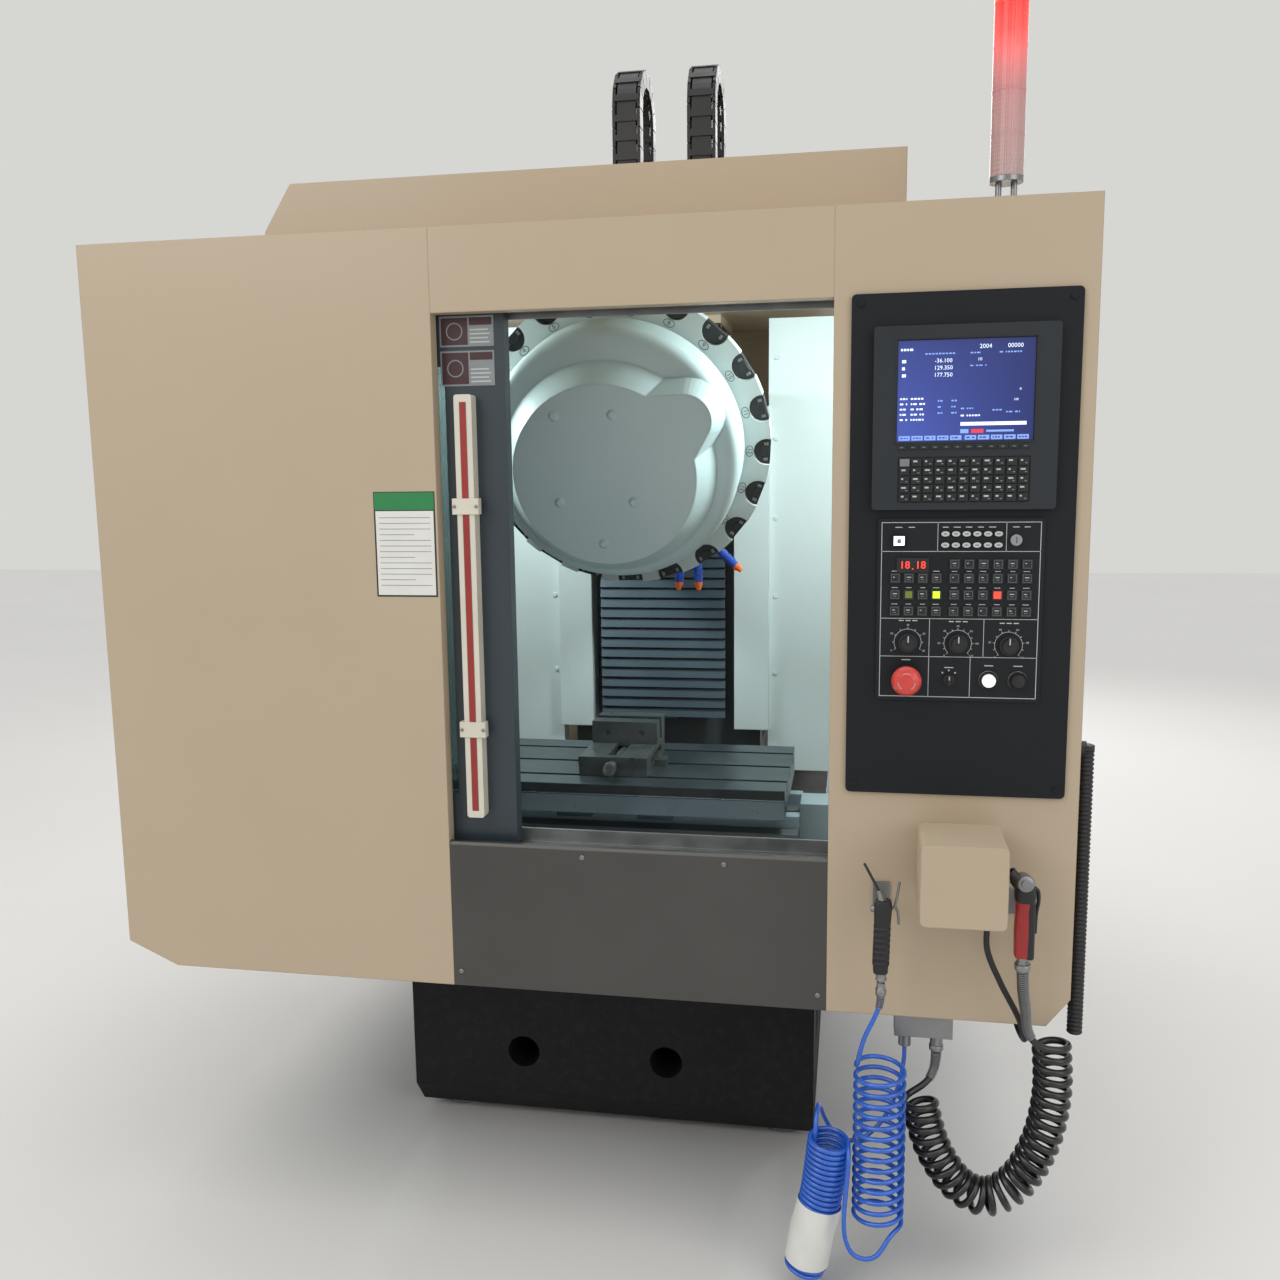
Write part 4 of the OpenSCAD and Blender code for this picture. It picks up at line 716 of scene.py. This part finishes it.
def coolant_gun_looks():
    form = Form()
    x, y = 786.0, GUN_Y
    # Nut, handle, its dark back, head, knob, nozzle, lever
    form.lathe([(5, 0), (10.4, 0), (10.8, 1.5), (10.8, 11), (9, 12.5), (9, 20), (6, 21)],
               (x, y, 630), UP, 6, 1)
    loft(form, [rounded(x - 1, y, z, w, d, r) for z, w, d, r in (
        (649, 24, 22, 6), (652, 27, 25, 7), (690, 29, 26, 8), (728, 27, 25, 8), (744, 28, 26, 8))])
    loft(form, [rounded(x + 9.5, y, z, w, d, 5)
                for z, w, d in ((648, 11, 24), (651, 13, 27), (728, 13, 27), (746, 12, 26))], 2)
    loft(form, [rounded(x, y, z, w, d, 8) for z, w, d in (
        (742, 27, 26), (746, 32, 28), (756, 34, 29), (768, 30, 27), (774, 24, 22))], 2)
    form.lathe([(3, -16), (13, -16), (14.4, -12), (14.4, 10), (12.6, 14), (8, 15), (8, 19), (3, 19)],
               (x - 2, y, 774), (0.10, -1, 0.10), 28, 1)
    form.lathe([(6, 0), (10.5, 0), (11.5, 4), (11.5, 15), (9, 18), (9, 30), (5.5, 30), (5.5, 24)],
               (x - 6, y, 768), (-0.62, 0, 0.785), 20, 2)
    form.tube(smooth_line([(x + 8, y, 768), (x + 19, y, 762), (x + 21, y, 744), (x + 18, y, 722),
                           (x + 17, y, 690)], 4), 3.2, 8, 2)
    obj = form.build("coolant_gun_body", ["gun_red", "zinc", "black_plastic"], "machine", "gun_red",
                     angle=40)
    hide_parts("coolant_gun")


def hang_cords():
    air = air_line()
    band = paper_band()
    guard = spring_guard("air_hose_guard", start_of(air[::-1], 34), 6.2, 1.0, 3.0)
    make_cord("air_hose_line", air, AIR_R, "air_tube", "air_tube", ("air_hose", "air_coil", "air_bundle"))
    cool = coolant_line()
    low = spring_guard("coolant_guard_low", start_of(cool, 60), 8.6, 1.3, 3.6)
    top = spring_guard("coolant_guard_top", start_of(cool[::-1], 150), 8.8, 1.4, 3.8)
    make_cord("coolant_hose_line", cool, COOL_R, "coolant_tube", "coolant_tube",
              ("coolant_hose", "coolant_coil"))
    make_cord("handwheel_cable_line", smooth_line(CABLE, 6), CABLE_R, "cable_black", "coolant_tube",
              ("handwheel_cable",))


air_gun_looks()
coolant_gun_looks()
hang_cords()


# Materials of the CAD nodes
NODE_MATERIALS = {
    "cream_paint": "front_left_panel header_panel front_right_panel side_panels roof_panel top_box "
                   "electric_cabinet cabinet_door handwheel_box",
    "dark_sheet": "lower_front_cover",
    "black_panel": "control_panel_plate",
    "casting_black": "base_casting",
    "casting_grey": "column_casting magazine_bracket saddle headstock",
    "white_paint": "column_guards rear_wall",
    "cover_paint": "magazine_cover",
    "ring_white": "magazine_ring",
    "ground_steel": "y_axis_drive z_axis_drive spindle key_switch",
    "pan_steel": "chip_pan x_axis_drive",
    "zinc": "levelling_feet door_tracks tower_light_pole hose_fittings vise_screw",
    "table_iron": "table",
    "vise_steel": "vise_body vise_jaw",
    "slat_steel": "z_slat_cover",
    "door_dark": "door_frame",
    "window": "door_window",
    "handle_plastic": "door_handle",
    "unit_plastic": "display_unit",
    "panel_film": "operator_panel",
    "lens_plastic": "tower_light_lenses",
    "chain_plastic": "energy_chains",
    "black_plastic": "air_gun side_conduit power_off_button mode_knob feed_knob speed_knob "
                     "selector_knob",
    "gun_red": "coolant_gun",
    "motor_black": "spindle_motor",
    "blue_plastic": "coolant_nozzles",
    "stop_red": "stop_button",
    "white_plastic": "power_on_button",
    "air_tube": "air_hose air_coil air_bundle",
    "coolant_tube": "coolant_hose coolant_coil handwheel_cable",
}
for material_name, names in NODE_MATERIALS.items():
    for node_name in names.split():
        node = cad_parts[node_name]
        node.data.materials.clear()
        node.data.materials.append(MATERIALS[material_name])


# Display unit
def screen_point(u, v):
    """A place on the screen, from shares of its width and height, from the top left."""
    x0, x1, z0, z1 = SCREEN
    return x0 + u * (x1 - x0), z1 - v * (z1 - z0)


def screen_bar(form, u0, u1, v0, v1, y, mat):
    x0, z1 = screen_point(u0, v0)
    x1, z0 = screen_point(u1, v1)
    form.bar(x0, x1, z0, z1, y, 0.2, mat)


def dashes(form, y, u0, u1, v, mat, high, seed, letters=0.018):
    """A row that reads as small print: short bars of uneven width."""
    k = seed
    while u0 < u1 - 0.006:
        k = (k * 7 + 3) % 11
        w = letters * (0.55 + 0.09 * k)
        screen_bar(form, u0, min(u0 + w, u1), v - high / 2, v + high / 2, y, mat)
        u0 += w + 0.007 + (0.012 if k > 7 else 0)


def display_screen():
    form = Form()
    x0, x1, z0, z1 = SCREEN
    y = SCREEN_Y - 0.5
    form.bar(x0, x1, z0, z1, y, 0.5, 0)
    y -= 0.25
    for text, u, v, size in (
            ("2004", 0.64, 0.075, 9.5), ("00000", 0.855, 0.075, 9.5), ("-36.100", 0.335, 0.205, 9.0),
            ("129.350", 0.335, 0.275, 9.0), ("177.750", 0.335, 0.345, 9.0), ("10", 0.60, 0.20, 7.0),
            ("0", 0.90, 0.50, 6.0), ("100", 0.87, 0.60, 5.0)):
        form.text(text, *screen_point(u, v), y, size, 1)
    for row in ((0.02, 0.11, 0.09, 1, 0.022, 3), (0.20, 0.42, 0.135, 2, 0.014, 5),
                (0.53, 0.62, 0.135, 2, 0.014, 2), (0.74, 0.90, 0.135, 2, 0.014, 4),
                (0.03, 0.06, 0.205, 1, 0.03, 2, 0.03), (0.03, 0.06, 0.275, 1, 0.03, 3, 0.03),
                (0.03, 0.06, 0.345, 1, 0.03, 4, 0.03), (0.53, 0.66, 0.26, 2, 0.012, 7)):
        dashes(form, y, *row)
    for i in range(5):
        dashes(form, y, 0.02, 0.075, 0.575 + i * 0.052, 1, 0.017, 3 + i)
        dashes(form, y, 0.10, 0.205, 0.575 + i * 0.052, 1, 0.017, 5 + i)
    for i in range(3):
        dashes(form, y, 0.30, 0.335, 0.60 + i * 0.06, 2, 0.016, 6 + i)
        dashes(form, y, 0.40, 0.44, 0.60 + i * 0.06, 2, 0.016, 8 + i)
    for i, (a, b) in enumerate(((0.47, 0.56), (0.70, 0.78), (0.80, 0.90))):
        dashes(form, y, a, b, 0.68 + 0.02 * i, 2, 0.014, 4 + i)
    dashes(form, y, 0.47, 0.62, 0.75, 1, 0.016, 4)
    for a, b, c, d, mat in ((0.47, 0.95, 0.815, 0.85, 1), (0.55, 0.64, 0.885, 0.925, 3),
                            (0.47, 0.53, 0.885, 0.925, 2), (0.66, 0.86, 0.895, 0.915, 2)):
        screen_bar(form, a, b, c, d, y, mat)
    # The ten soft keys' fields along the bottom
    for k in range(10):
        a = 0.015 + k * 0.0955 + (0.012 if k > 4 else 0)
        screen_bar(form, a, a + 0.083, 0.945, 0.99, y, 2)
        dashes(form, y - 0.2, a + 0.012, a + 0.07, 0.967, 0, 0.014, k + 2)
    form.build("screen_face", ["screen_ground", "screen_white", "screen_blue", "screen_red"], "machine",
               "unit_plastic")


def display_keys():
    form = Form()
    dark, grey, pale, dim = range(4)
    y = UNIT_Y - 1.0
    for j in range(5):
        for k in range(11):
            x, z = 579 + k * 18.4, 1381 + j * 14
            plain = j == 4 and k == 0
            form.box(x - 0.6, x + 14.6, y - 1.6, y, z - 0.5, z + 11.5, grey if plain else dark)
            if plain:
                continue
            m = (k * 5 + j * 3) % 4
            w = (4.2, 6.4, 3.2, 7.6)[m]
            form.bar(x + 2.2, x + 2.2 + w, z + 6.2, z + 8.8, y - 1.9, 0.3, pale)
            if m != 1:
                form.bar(x + 8.6, x + 12.2, z + 2.4, z + 4.0, y - 1.9, 0.3, dim)
    for k in range(12):
        x = 574 + k * 208 / 12
        form.box(x, x + 14, y - 1.0, y, 1463.2, 1469.8, dark)
        form.bar(x + 4.5, x + 9.5, 1465.8, 1467.2, y - 1.3, 0.3, dim)
    form.build("display_keys", ["key_dark", "key_grey", "mark_pale", "mark_dim"], "machine",
               "unit_plastic", bevel=0.6)


def display_bezel():
    form = Form()
    x0, x1, z0, z1 = SCREEN
    for a, b, c, d in ((x0 - 5, x1 + 5, z1 + 1.5, z1 + 6), (x0 - 5, x1 + 5, z0 - 4.5, z0 - 1.2),
                       (x0 - 5, x0 - 1.2, z0 - 1.2, z1 + 1.5), (x1 + 1.2, x1 + 5, z0 - 1.2, z1 + 1.5)):
        form.box(a, b, UNIT_Y - 0.6, UNIT_Y, c, d)
    form.build("display_bezel", ["key_dark"], "machine", "unit_plastic", bevel=0.5)


# Operator panel
LEFT_COLUMNS = [575 + 22 * k for k in range(4)]
RIGHT_COLUMNS = [669 + 22.6 * k for k in range(6)]
KEY_ROWS = (1202, 1229, 1256, 1279)
KNOBS = {"mode_knob": (597, 1149), "feed_knob": (677, 1149), "speed_knob": (757, 1147)}
STOP = (595, 1090)
SELECTOR_X, POWER_ON_X, POWER_OFF_X = 664, 727, 773
BUTTON_Z = 1089


def operator_lines():
    form = Form()
    y = KEYS_Y - 0.4
    x0, x1, z0, z1 = 552, 802, 1059, 1347
    form.frame(x0, x1, z0, z1, y, 1.1)
    for z in (1299, 1189, 1126):
        form.bar(x0, x1, z, z + 0.9, y)
    for x, a, b in ((641, 1299, z1), (748, 1299, z1), (697, z0, 1126), (631, z0, 1189), (717, 1126, 1189)):
        form.bar(x, x + 0.9, a, b, y)
    # Scales of the three knobs
    for cx, cz, a0, n in ((597, 1150, -120, 9), (677, 1149, -135, 13), (757, 1147, -135, 11)):
        form.arc(cx, cz, 21.5, a0, -a0, y, 0.7)
        for i in range(n):
            a = radians(a0 + (-2 * a0) * i / (n - 1))
            s, c = sin(a), cos(a)
            form.plate([(cx + r * s - w * c, cz + r * c + w * s)
                        for r, w in ((22, 0.4), (22, -0.4), (25, -0.4), (25, 0.4))], y, 0.4)
            if i % 2 == 0:
                form.text(str(i * 10), cx + 30 * s, cz + 28.5 * c, y, 4.6)
        for i in range(3):
            form.bar(cx - 15 + i * 11, cx - 7 + i * 11, cz + 35.2, cz + 36.8, y)
    # Small print over the rows, as bars
    for i, x in enumerate((580, 600, 653, 672, 690, 708, 727, 763, 780)):
        form.bar(x - 6 + i % 3, x + 5, 1338, 1339.4, y)
    for i, x in enumerate(LEFT_COLUMNS + RIGHT_COLUMNS):
        for z in KEY_ROWS[:3]:
            form.bar(x - 5.5 + (i % 3), x + 4.5, z + 10.6, z + 11.8, y)
    for x, z in ((SELECTOR_X, 1108), (POWER_ON_X, 1112), (POWER_OFF_X, 1112), (595, 1120)):
        form.bar(x - 7, x + 7, z, z + 1.5, y)
    # The selector's three places
    for a in (-42, 0, 42):
        g = radians(a)
        x, z = SELECTOR_X + 15 * sin(g), BUTTON_Z + 15 * cos(g)
        form.bar(x - 1.2, x + 1.2, z - 1.2, z + 1.2, y)
    form.build("operator_lines", ["mark_pale"], "machine", "white_plastic")


def operator_keys():
    form = Form()
    y = KEYS_Y - 2.0
    dark, pale, green, red, faint, white, dim = range(7)
    lit = {(3, 1): green, (1, 1): faint, (7, 1): red}
    for i, x in enumerate(LEFT_COLUMNS + RIGHT_COLUMNS):
        for j, z in enumerate(KEY_ROWS):
            if i < 4 and j == 3:
                continue
            form.box(x - 8.4, x + 8.4, y - 1.4, y + 0.4, z - 8.4, z + 8.4, dark)
            if (i, j) in lit:
                form.box(x - 5.6, x + 5.6, y - 2.2, y - 1.4, z - 5.6, z + 5.6, lit[i, j])
                continue
            form.frame(x - 6.4, x + 6.4, z - 6.4, z + 6.4, y - 1.6, 0.5, dim)
            m = (i * 3 + j * 5) % 4
            form.bar(x - 3.6, x - 3.6 + (4, 7, 2.6, 6)[m], z + 0.8, z + 2.2, y - 1.7, 0.3, pale)
            if m != 2:
                form.bar(x - 3, x + 2.4, z - 3, z - 1.9, y - 1.7, 0.3, dim)
    # The two rows of oval buttons, a little flattened at the sides
    for j in range(2):
        for k in range(6):
            x, z = 653 + 16.6 * k, 1310 + 18 * j
            pts = [(x + 6.6 * cos(a) * (1 if abs(cos(a)) < 0.9 else 0.98), z + 4.2 * sin(a))
                   for a in around(20)]
            form.plate(pts, KEYS_Y - 5.0, 1.2, pale)
            form.bar(x - 2.6, x + 2.6, z - 0.6, z + 0.6, KEYS_Y - 5.3, 0.3, dark)
    # The square white button
    form.box(571.5, 588.5, KEYS_Y - 7.0, KEYS_Y - 5.8, 1309.5, 1324.5, white)
    form.bar(577, 583, 1313, 1320, KEYS_Y - 7.3, 0.3, dim)
    form.build("operator_keys", ["key_dark", "mark_pale", "lamp_green", "lamp_red", "lamp_dim", "lamp_white",
                                 "mark_dim"], "machine", "unit_plastic", bevel=0.5)


def number_window():
    form = Form()
    y = KEYS_Y - 3.5
    form.box(577, 628, y, KEYS_Y - 2.9, 1265, 1289, 0)
    form.text("18", 590, 1277, y - 0.3, 17, 1)
    form.text("18", 615, 1277, y - 0.3, 17, 1)
    form.bar(601.5, 603.3, 1270.5, 1272.3, y - 0.3, 0.3, 1)
    form.build("number_window", ["key_dark", "lamp_red"], "machine", "unit_plastic")


def control_marks():
    """Index marks, rims and caps of the controls, each on its own body, and the fixed collars."""
    for name, (x, z) in KNOBS.items():
        form = Form()
        form.bar(x - 0.9, x + 0.9, z + 3, z + 13.2, KEYS_Y - 19.6, 0.5)
        form.lathe([(11.5, 0), (13.2, 0), (15.2, 0.4), (15.4, 1.4), (15.4, 6.6), (14.6, 7.8), (13.2, 8.1),
                    (11.5, 8.1)], (x, KEYS_Y - 0.4, z), TO_FRONT, 36, 1)
        form.build(name + "_mark", ["mark_pale", "black_plastic"], name, "black_plastic", angle=35)
    form = Form()
    form.bar(SELECTOR_X - 0.8, SELECTOR_X + 0.8, 1090, 1096, KEYS_Y - 15.8, 0.5)
    form.build("selector_mark", ["mark_pale"], "selector_knob", "black_plastic")
    form = Form()
    for g in around(3):
        form.arc(*STOP, 12.5, degrees(g) - 28, degrees(g) + 28, KEYS_Y - 40.2, 1.6, 0, 10)
    form.build("stop_arrows", ["mark_pale"], "stop_button", "red_plastic")
    for name, x, mat, slot in (("power_on_button", POWER_ON_X, "lamp_white", "white_plastic"),
                               ("power_off_button", POWER_OFF_X, "key_dark", "black_plastic")):
        form = Form()
        form.lathe([(7.4, 0), (9.8, 0), (9.4, 1.6), (7.4, 2.0)], (x, KEYS_Y - 9.8, BUTTON_Z), TO_FRONT, 32)
        form.build(name + "_cap", [mat], name, slot, angle=35)
    form = Form()
    for x, z, r in ((POWER_ON_X, BUTTON_Z, 15.6), (POWER_OFF_X, BUTTON_Z, 15.6), (*STOP, 18.0)):
        form.lathe([(r - 3.4, 0), (r, 0), (r, 1.6), (r - 0.8, 2.4), (r - 3.0, 2.4), (r - 3.4, 1.8)],
                   (x, KEYS_Y - 0.1, z), TO_FRONT, 40, ring=True)
    form.build("button_collars", ["zinc"], "machine", "zinc", angle=35)


display_screen()
display_keys()
display_bezel()
operator_lines()
operator_keys()
number_window()
control_marks()


# Door, labels and front
def door_details():
    form = Form()
    y = DOOR_Y - 26.5
    for x0, x1, back, mat in ((-168.5, -157.5, 0, 0), (-169.3, -168.5, 0.1, 1), (-157.5, -156.7, 0.1, 1)):
        form.box(x0, x1, y + back, y + 0.5, 826, 1557, mat)
    form.build("handle_stripe", ["stripe_red", "mark_dim"], "door", "handle_plastic")
    form = Form()
    for z in (977, 1377):
        for x in (-183, -143):
            form.lathe([(0.5, 0), (3.4, 0), (3.2, 1.2), (2.2, 1.9), (0.5, 2.0)], (x, DOOR_Y - 29, z),
                       TO_FRONT, 16)
    form.build("handle_screws", ["zinc"], "door", "zinc", angle=35)
    form = Form()
    # Two plates: a dark square with a ring, a dark title, and rows for words
    for z0, z1 in ((1586, 1646), (1653, 1705)):
        form.box(-209, -111, DOOR_Y - 0.8, DOOR_Y, z0, z1, 0)
        form.box(-206, -158, DOOR_Y - 1.1, DOOR_Y - 0.8, z0 + 3, z1 - 3, 1)
        form.box(-155, -114, DOOR_Y - 1.1, DOOR_Y - 0.8, z1 - 16, z1 - 3, 1)
        for i in range(4):
            form.bar(-154, -118 - 3 * (i % 2), z0 + 6 + i * 7, z0 + 8.6 + i * 7, DOOR_Y - 1.1, 0.3, 2)
        form.arc(-182, (z0 + z1) / 2, 13, 0, 360, DOOR_Y - 1.4, 2.0, 0, 28)
    form.build("door_plates", ["label_grey", "label_maroon", "mark_pale"], "door", "zinc")


def front_sticker():
    form = Form()
    x0, x1, z0, z1 = -331, -217, 1218, 1404
    y = FRONT_Y - 0.5
    form.box(x0, x1, y, FRONT_Y, z0, z1, 2)
    form.box(x0 + 1.5, x1 - 1.5, y - 0.2, y, z1 - 32, z1 - 1.5, 0)
    form.box(x0 + 3, x1 - 3, y - 0.2, y, z0 + 3, z1 - 34, 1)
    for i in range(13):
        z = z1 - 46 - i * 10
        form.bar(x0 + 9, x1 - (9 if i % 4 != 3 else 40), z, z + 0.9, y - 0.4, 0.2, 3)
    form.build("front_sticker", ["label_green", "paper_white", "ink_dark", "mark_dim"], "machine",
               "white_plastic")


def screw(form, x, y, z, r=4.0, axis=TO_FRONT):
    form.lathe([(0.3, 0), (r, 0), (r, r * 0.45), (r * 0.8, r * 0.62), (r * 0.42, r * 0.62),
                (r * 0.4, r * 0.3), (0.3, r * 0.3)], (x, y, z), axis, 18)


def front_screws():
    form = Form()
    for x, z in ((36, 750), (291, 750), (-198, 520), (456, 520)):
        screw(form, x, FRONT_Y + 0.2, z, 4.5)
    for x in (-330, -303):
        screw(form, x, -884, 1849.8, 5.5, UP)
    form.build("front_screws", ["zinc"], "machine", "zinc", angle=35)


def table_trim():
    """Screws and strips along the front of the table; the dark strip at the top is painted shade that stands
    for the chamfer of the table's top edge.
    """
    form = Form()
    for x in (-330, -201, -69, 125, 316):
        screw(form, x, TABLE_Y, 734)
    # The dark strip is painted shade for the top edge's chamfer, over a thin steel line and the grey front
    # band
    for y, z0, z1, mat in ((-519.5, 760, 778.5, 1), (-519.7, 757.6, 759.2, 2), (-519.2, 717.5, 755.5, 3)):
        form.box(-374.6, 374.6, y, TABLE_Y, z0, z1, mat)
    form.build("table_trim", ["zinc", "gripper_black", "ground_steel", "front_steel"], "table", "zinc")


door_details()
front_sticker()
front_screws()
table_trim()


# Magazine
def on_ring(x, y, z=0.0):
    """A place on the magazine, from its own centre: across, up its face, and out of it."""
    c, s = cos(RING_TILT), sin(RING_TILT)
    return RING_CENTRE + Vector((x, -s * y - c * z, c * y - s * z))


def ring_solid(form, outline, low, high, mat=0):
    form.prism([on_ring(x, y, high) for x, y in outline], [on_ring(x, y, low) for x, y in outline], mat)


def magazine_details():
    """A gripper in each notch of the ring, and each place's number in a thin oval."""
    grips, marks = Form(), Form()
    fit_r, number_at, first = NOTCH_R - 0.6, 284.5, 16
    half = degrees(acos(6.5 / fit_r))
    arc = [radians(half + (360 - 2 * half) * i / 22) for i in range(23)]
    oval = [(12.5 * cos(a), 8.4 * sin(a)) for a in around(28)]
    core = [(11.2 * cos(a), 7.1 * sin(a)) for a in around(28)]
    for k, turn in enumerate(around(TOOL_COUNT)):
        ux, uy = cos(turn - pi / 2), sin(turn - pi / 2)

        def place(out, side):
            return (ux * out - uy * side, uy * out + ux * side)

        def lay(x, y):
            """A place in the oval, its top towards the rim."""
            return place(number_at + y, -x)

        shape = [place(NOTCH_AT + fit_r * cos(a), fit_r * sin(a)) for a in arc]
        ring_solid(grips, shape, -25, -7)
        inner = [place(NOTCH_AT + 1 + 14 * cos(a), 14 * sin(a)) for a in arc]
        ring_solid(grips, inner, -7, -4.5)
        for w in (-17, 17):
            pad = [place(NOTCH_AT - 3 + p, w + q) for p, q in ((-4, -3), (5, -3), (5, 3), (-4, 3))]
            ring_solid(grips, pad, -7, -3, 1)
        for i in range(28):
            j = (i + 1) % 28
            ring_solid(marks, [lay(*oval[i]), lay(*oval[j]), lay(*core[j]), lay(*core[i])], 0.0, 0.35)
        marks.text(str((first - k) % TOOL_COUNT + 1), 0, 0, 0, 13.0,
                   place=lambda x, y: on_ring(*lay(x, y), 0.4))
    grips.build("tool_grippers", ["gripper_black", "zinc"], "magazine", "black_plastic", bevel=0.5)
    marks.build("tool_numbers", ["ink_dark"], "magazine", "black_plastic")


def nozzle_tips():
    form = Form()
    x, y, z, joint = 112.0, -149.0, 1274.0, 14
    for dx, lean, count in ((0, 5, 7), (32, -3, 7), (64, -46, 6)):
        a = radians(lean)
        axis = (-sin(a), 0, -cos(a))
        base = Vector((x + dx, y, z)) + Vector(axis) * (count * joint + 1)
        form.lathe([(2, -1), (9.6, -1), (9.4, 4), (6.6, 11), (4.8, 18), (3.4, 18.4), (2.6, 14)],
                   base, axis, 20)
    form.build("nozzle_tips", ["orange_plastic"], "head", "red_plastic", angle=50)


magazine_details()
nozzle_tips()


# Conduit, tower light and cabinet
def conduit_rings():
    """The corrugated conduit down the right side."""
    form = Form()
    x, y, rings, pitch = 892.0, -870.0, 66, 7.6
    profile = [(8.0, 0.0)]
    for k in range(rings):
        z = k * pitch
        profile += [(11.2, z + 0.4), (12.9, z + 2.0), (12.9, z + 4.6), (11.2, z + 6.2)]
    profile.append((8.0, rings * pitch))
    form.lathe(profile, (x, y, 470), UP, 20)
    form.lathe([(0.5, 0), (12.4, 0), (12.9, 3), (12.9, 12), (9, 13.6), (0.5, 13.8)], (x, y, 964), UP, 20)
    form.lathe([(8, 0), (12.8, 0), (12.8, 12), (8, 12)], (879, y, 970), (1, 0, 0), 20)
    obj = form.build("conduit", ["black_plastic"], "machine", "black_plastic", angle=40)
    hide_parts("side_conduit")


def lens_rings():
    form = Form()
    for k in range(6):
        z = 1890 + k * 66 - (4 if k else 0)
        form.lathe([(22, 0), (26.3, 0), (26.5, 0.8), (26.5, 3.0), (26.2, 3.8), (22, 3.8)],
                   (*LIGHT, z), UP, 40, ring=True)
    form.build("lens_rings", ["lens_plastic"], "machine", "lens_plastic", angle=40)


def cabinet_details():
    """Louvres and two locks on the cabinet's door."""
    form = Form()
    w, h, out = 230, 13, 4.5
    for z in range(1180, 1480, 22):
        for x in (-250, 20):
            form.add([(x, CABINET_Y, z), (x + w, CABINET_Y, z), (x + w, CABINET_Y + out, z),
                      (x, CABINET_Y + out, z), (x, CABINET_Y, z + h), (x + w, CABINET_Y, z + h)],
                     [(0, 1, 2, 3), (3, 2, 5, 4), (0, 3, 4), (1, 5, 2), (0, 4, 5, 1)])
    form.build("cabinet_louvres", ["cream_paint"], "cabinet_door", "cream_paint")
    form = Form()
    for z in (560, 1500):
        form.lathe([(0.5, 0), (13, 0), (13, 3), (11, 4.5), (4, 4.5), (4, 2.5), (0.5, 2.5)],
                   (300, CABINET_Y, z), (0, 1, 0))
    form.build("cabinet_locks", ["zinc"], "cabinet_door", "zinc", angle=35)


conduit_rings()
lens_rings()
cabinet_details()


# Floor and light
def add_stage():
    n = material("floor_pale")
    tint = n.mix(n.noise(n.coords(), 0.7), srgb(206, 204, 200), srgb(214, 212, 208))
    n.shader(Base_Color=tint, Roughness=0.7)
    half, z = 14.0, -0.002
    mesh = bpy.data.meshes.new("floor")
    mesh.from_pydata([(-half, -half, z), (half, -half, z), (half, half, z), (-half, half, z)], [],
                     [(0, 1, 2, 3)])
    mesh.materials.append(MATERIALS["floor_pale"])
    obj = bpy.data.objects.new("floor", mesh)
    scene.collection.objects.link(obj)


def add_world():
    """Soft light on the machine, and a pale background for the camera, metal and glass."""
    world = bpy.data.worlds.new("studio")
    scene.world = world
    n = Nodes(world)
    n.tree.nodes.clear()
    mix = n.add("ShaderNodeMixShader")
    for i, color, strength in ((1, (0.92, 0.95, 1.0, 1.0), 0.42), (2, srgb(214, 214, 211), 1.0)):
        ground = n.add("ShaderNodeBackground")
        n.feed(ground, Color=color, Strength=strength)
        n.put(mix.inputs[i], ground.outputs[0])
    rays = n.add("ShaderNodeLightPath").outputs
    seen = rays["Is Camera Ray"]
    for kind in ("Is Glossy Ray", "Is Transmission Ray"):
        seen = n.math("MAXIMUM", seen, rays[kind])
    n.feed(mix, Fac=seen)
    n.feed(n.add("ShaderNodeOutputWorld"), Surface=mix.outputs[0])


def area_light(name, at, look, size, power, color=(1, 1, 1), size_y=None):
    data = bpy.data.lights.new(name, "AREA")
    data.energy = power
    data.color = color
    data.size = size
    if size_y:
        data.shape = "RECTANGLE"
        data.size_y = size_y
    obj = bpy.data.objects.new(name, data)
    obj.location = at
    obj.rotation_euler = (Vector(look) - Vector(at)).to_track_quat("-Z", "Y").to_euler()
    scene.collection.objects.link(obj)


def add_light():
    data = bpy.data.lights.new("hall", "SUN")
    data.energy = 1.7
    data.angle = radians(70)
    hall = bpy.data.objects.new("hall", data)
    hall.rotation_euler = (radians(4), 0, 0)
    scene.collection.objects.link(hall)
    area_light("key", (-2.6, -4.2, 3.6), (0, -0.6, 1.0), 2.6, 70, (1.0, 0.97, 0.93))
    area_light("fill", (3.2, -3.4, 2.2), (0.2, -0.6, 1.0), 2.4, 34)
    area_light("back", (0.8, 4.2, 3.4), (0, 0.5, 1.1), 2.6, 90)
    for name, at, look, size in (("work_lamp_left", (-0.62, -0.30, 1.70), (0.45, 0.15, 1.1), 0.5),
                                 ("work_lamp_right", (0.66, -0.40, 1.76), (0.05, 0.05, 0.9), 0.3)):
        area_light(name, at, look, size, 8, (0.84, 1.0, 1.0), 0.08)


add_stage()
add_world()
add_light()
scene.view_settings.view_transform = "Standard"
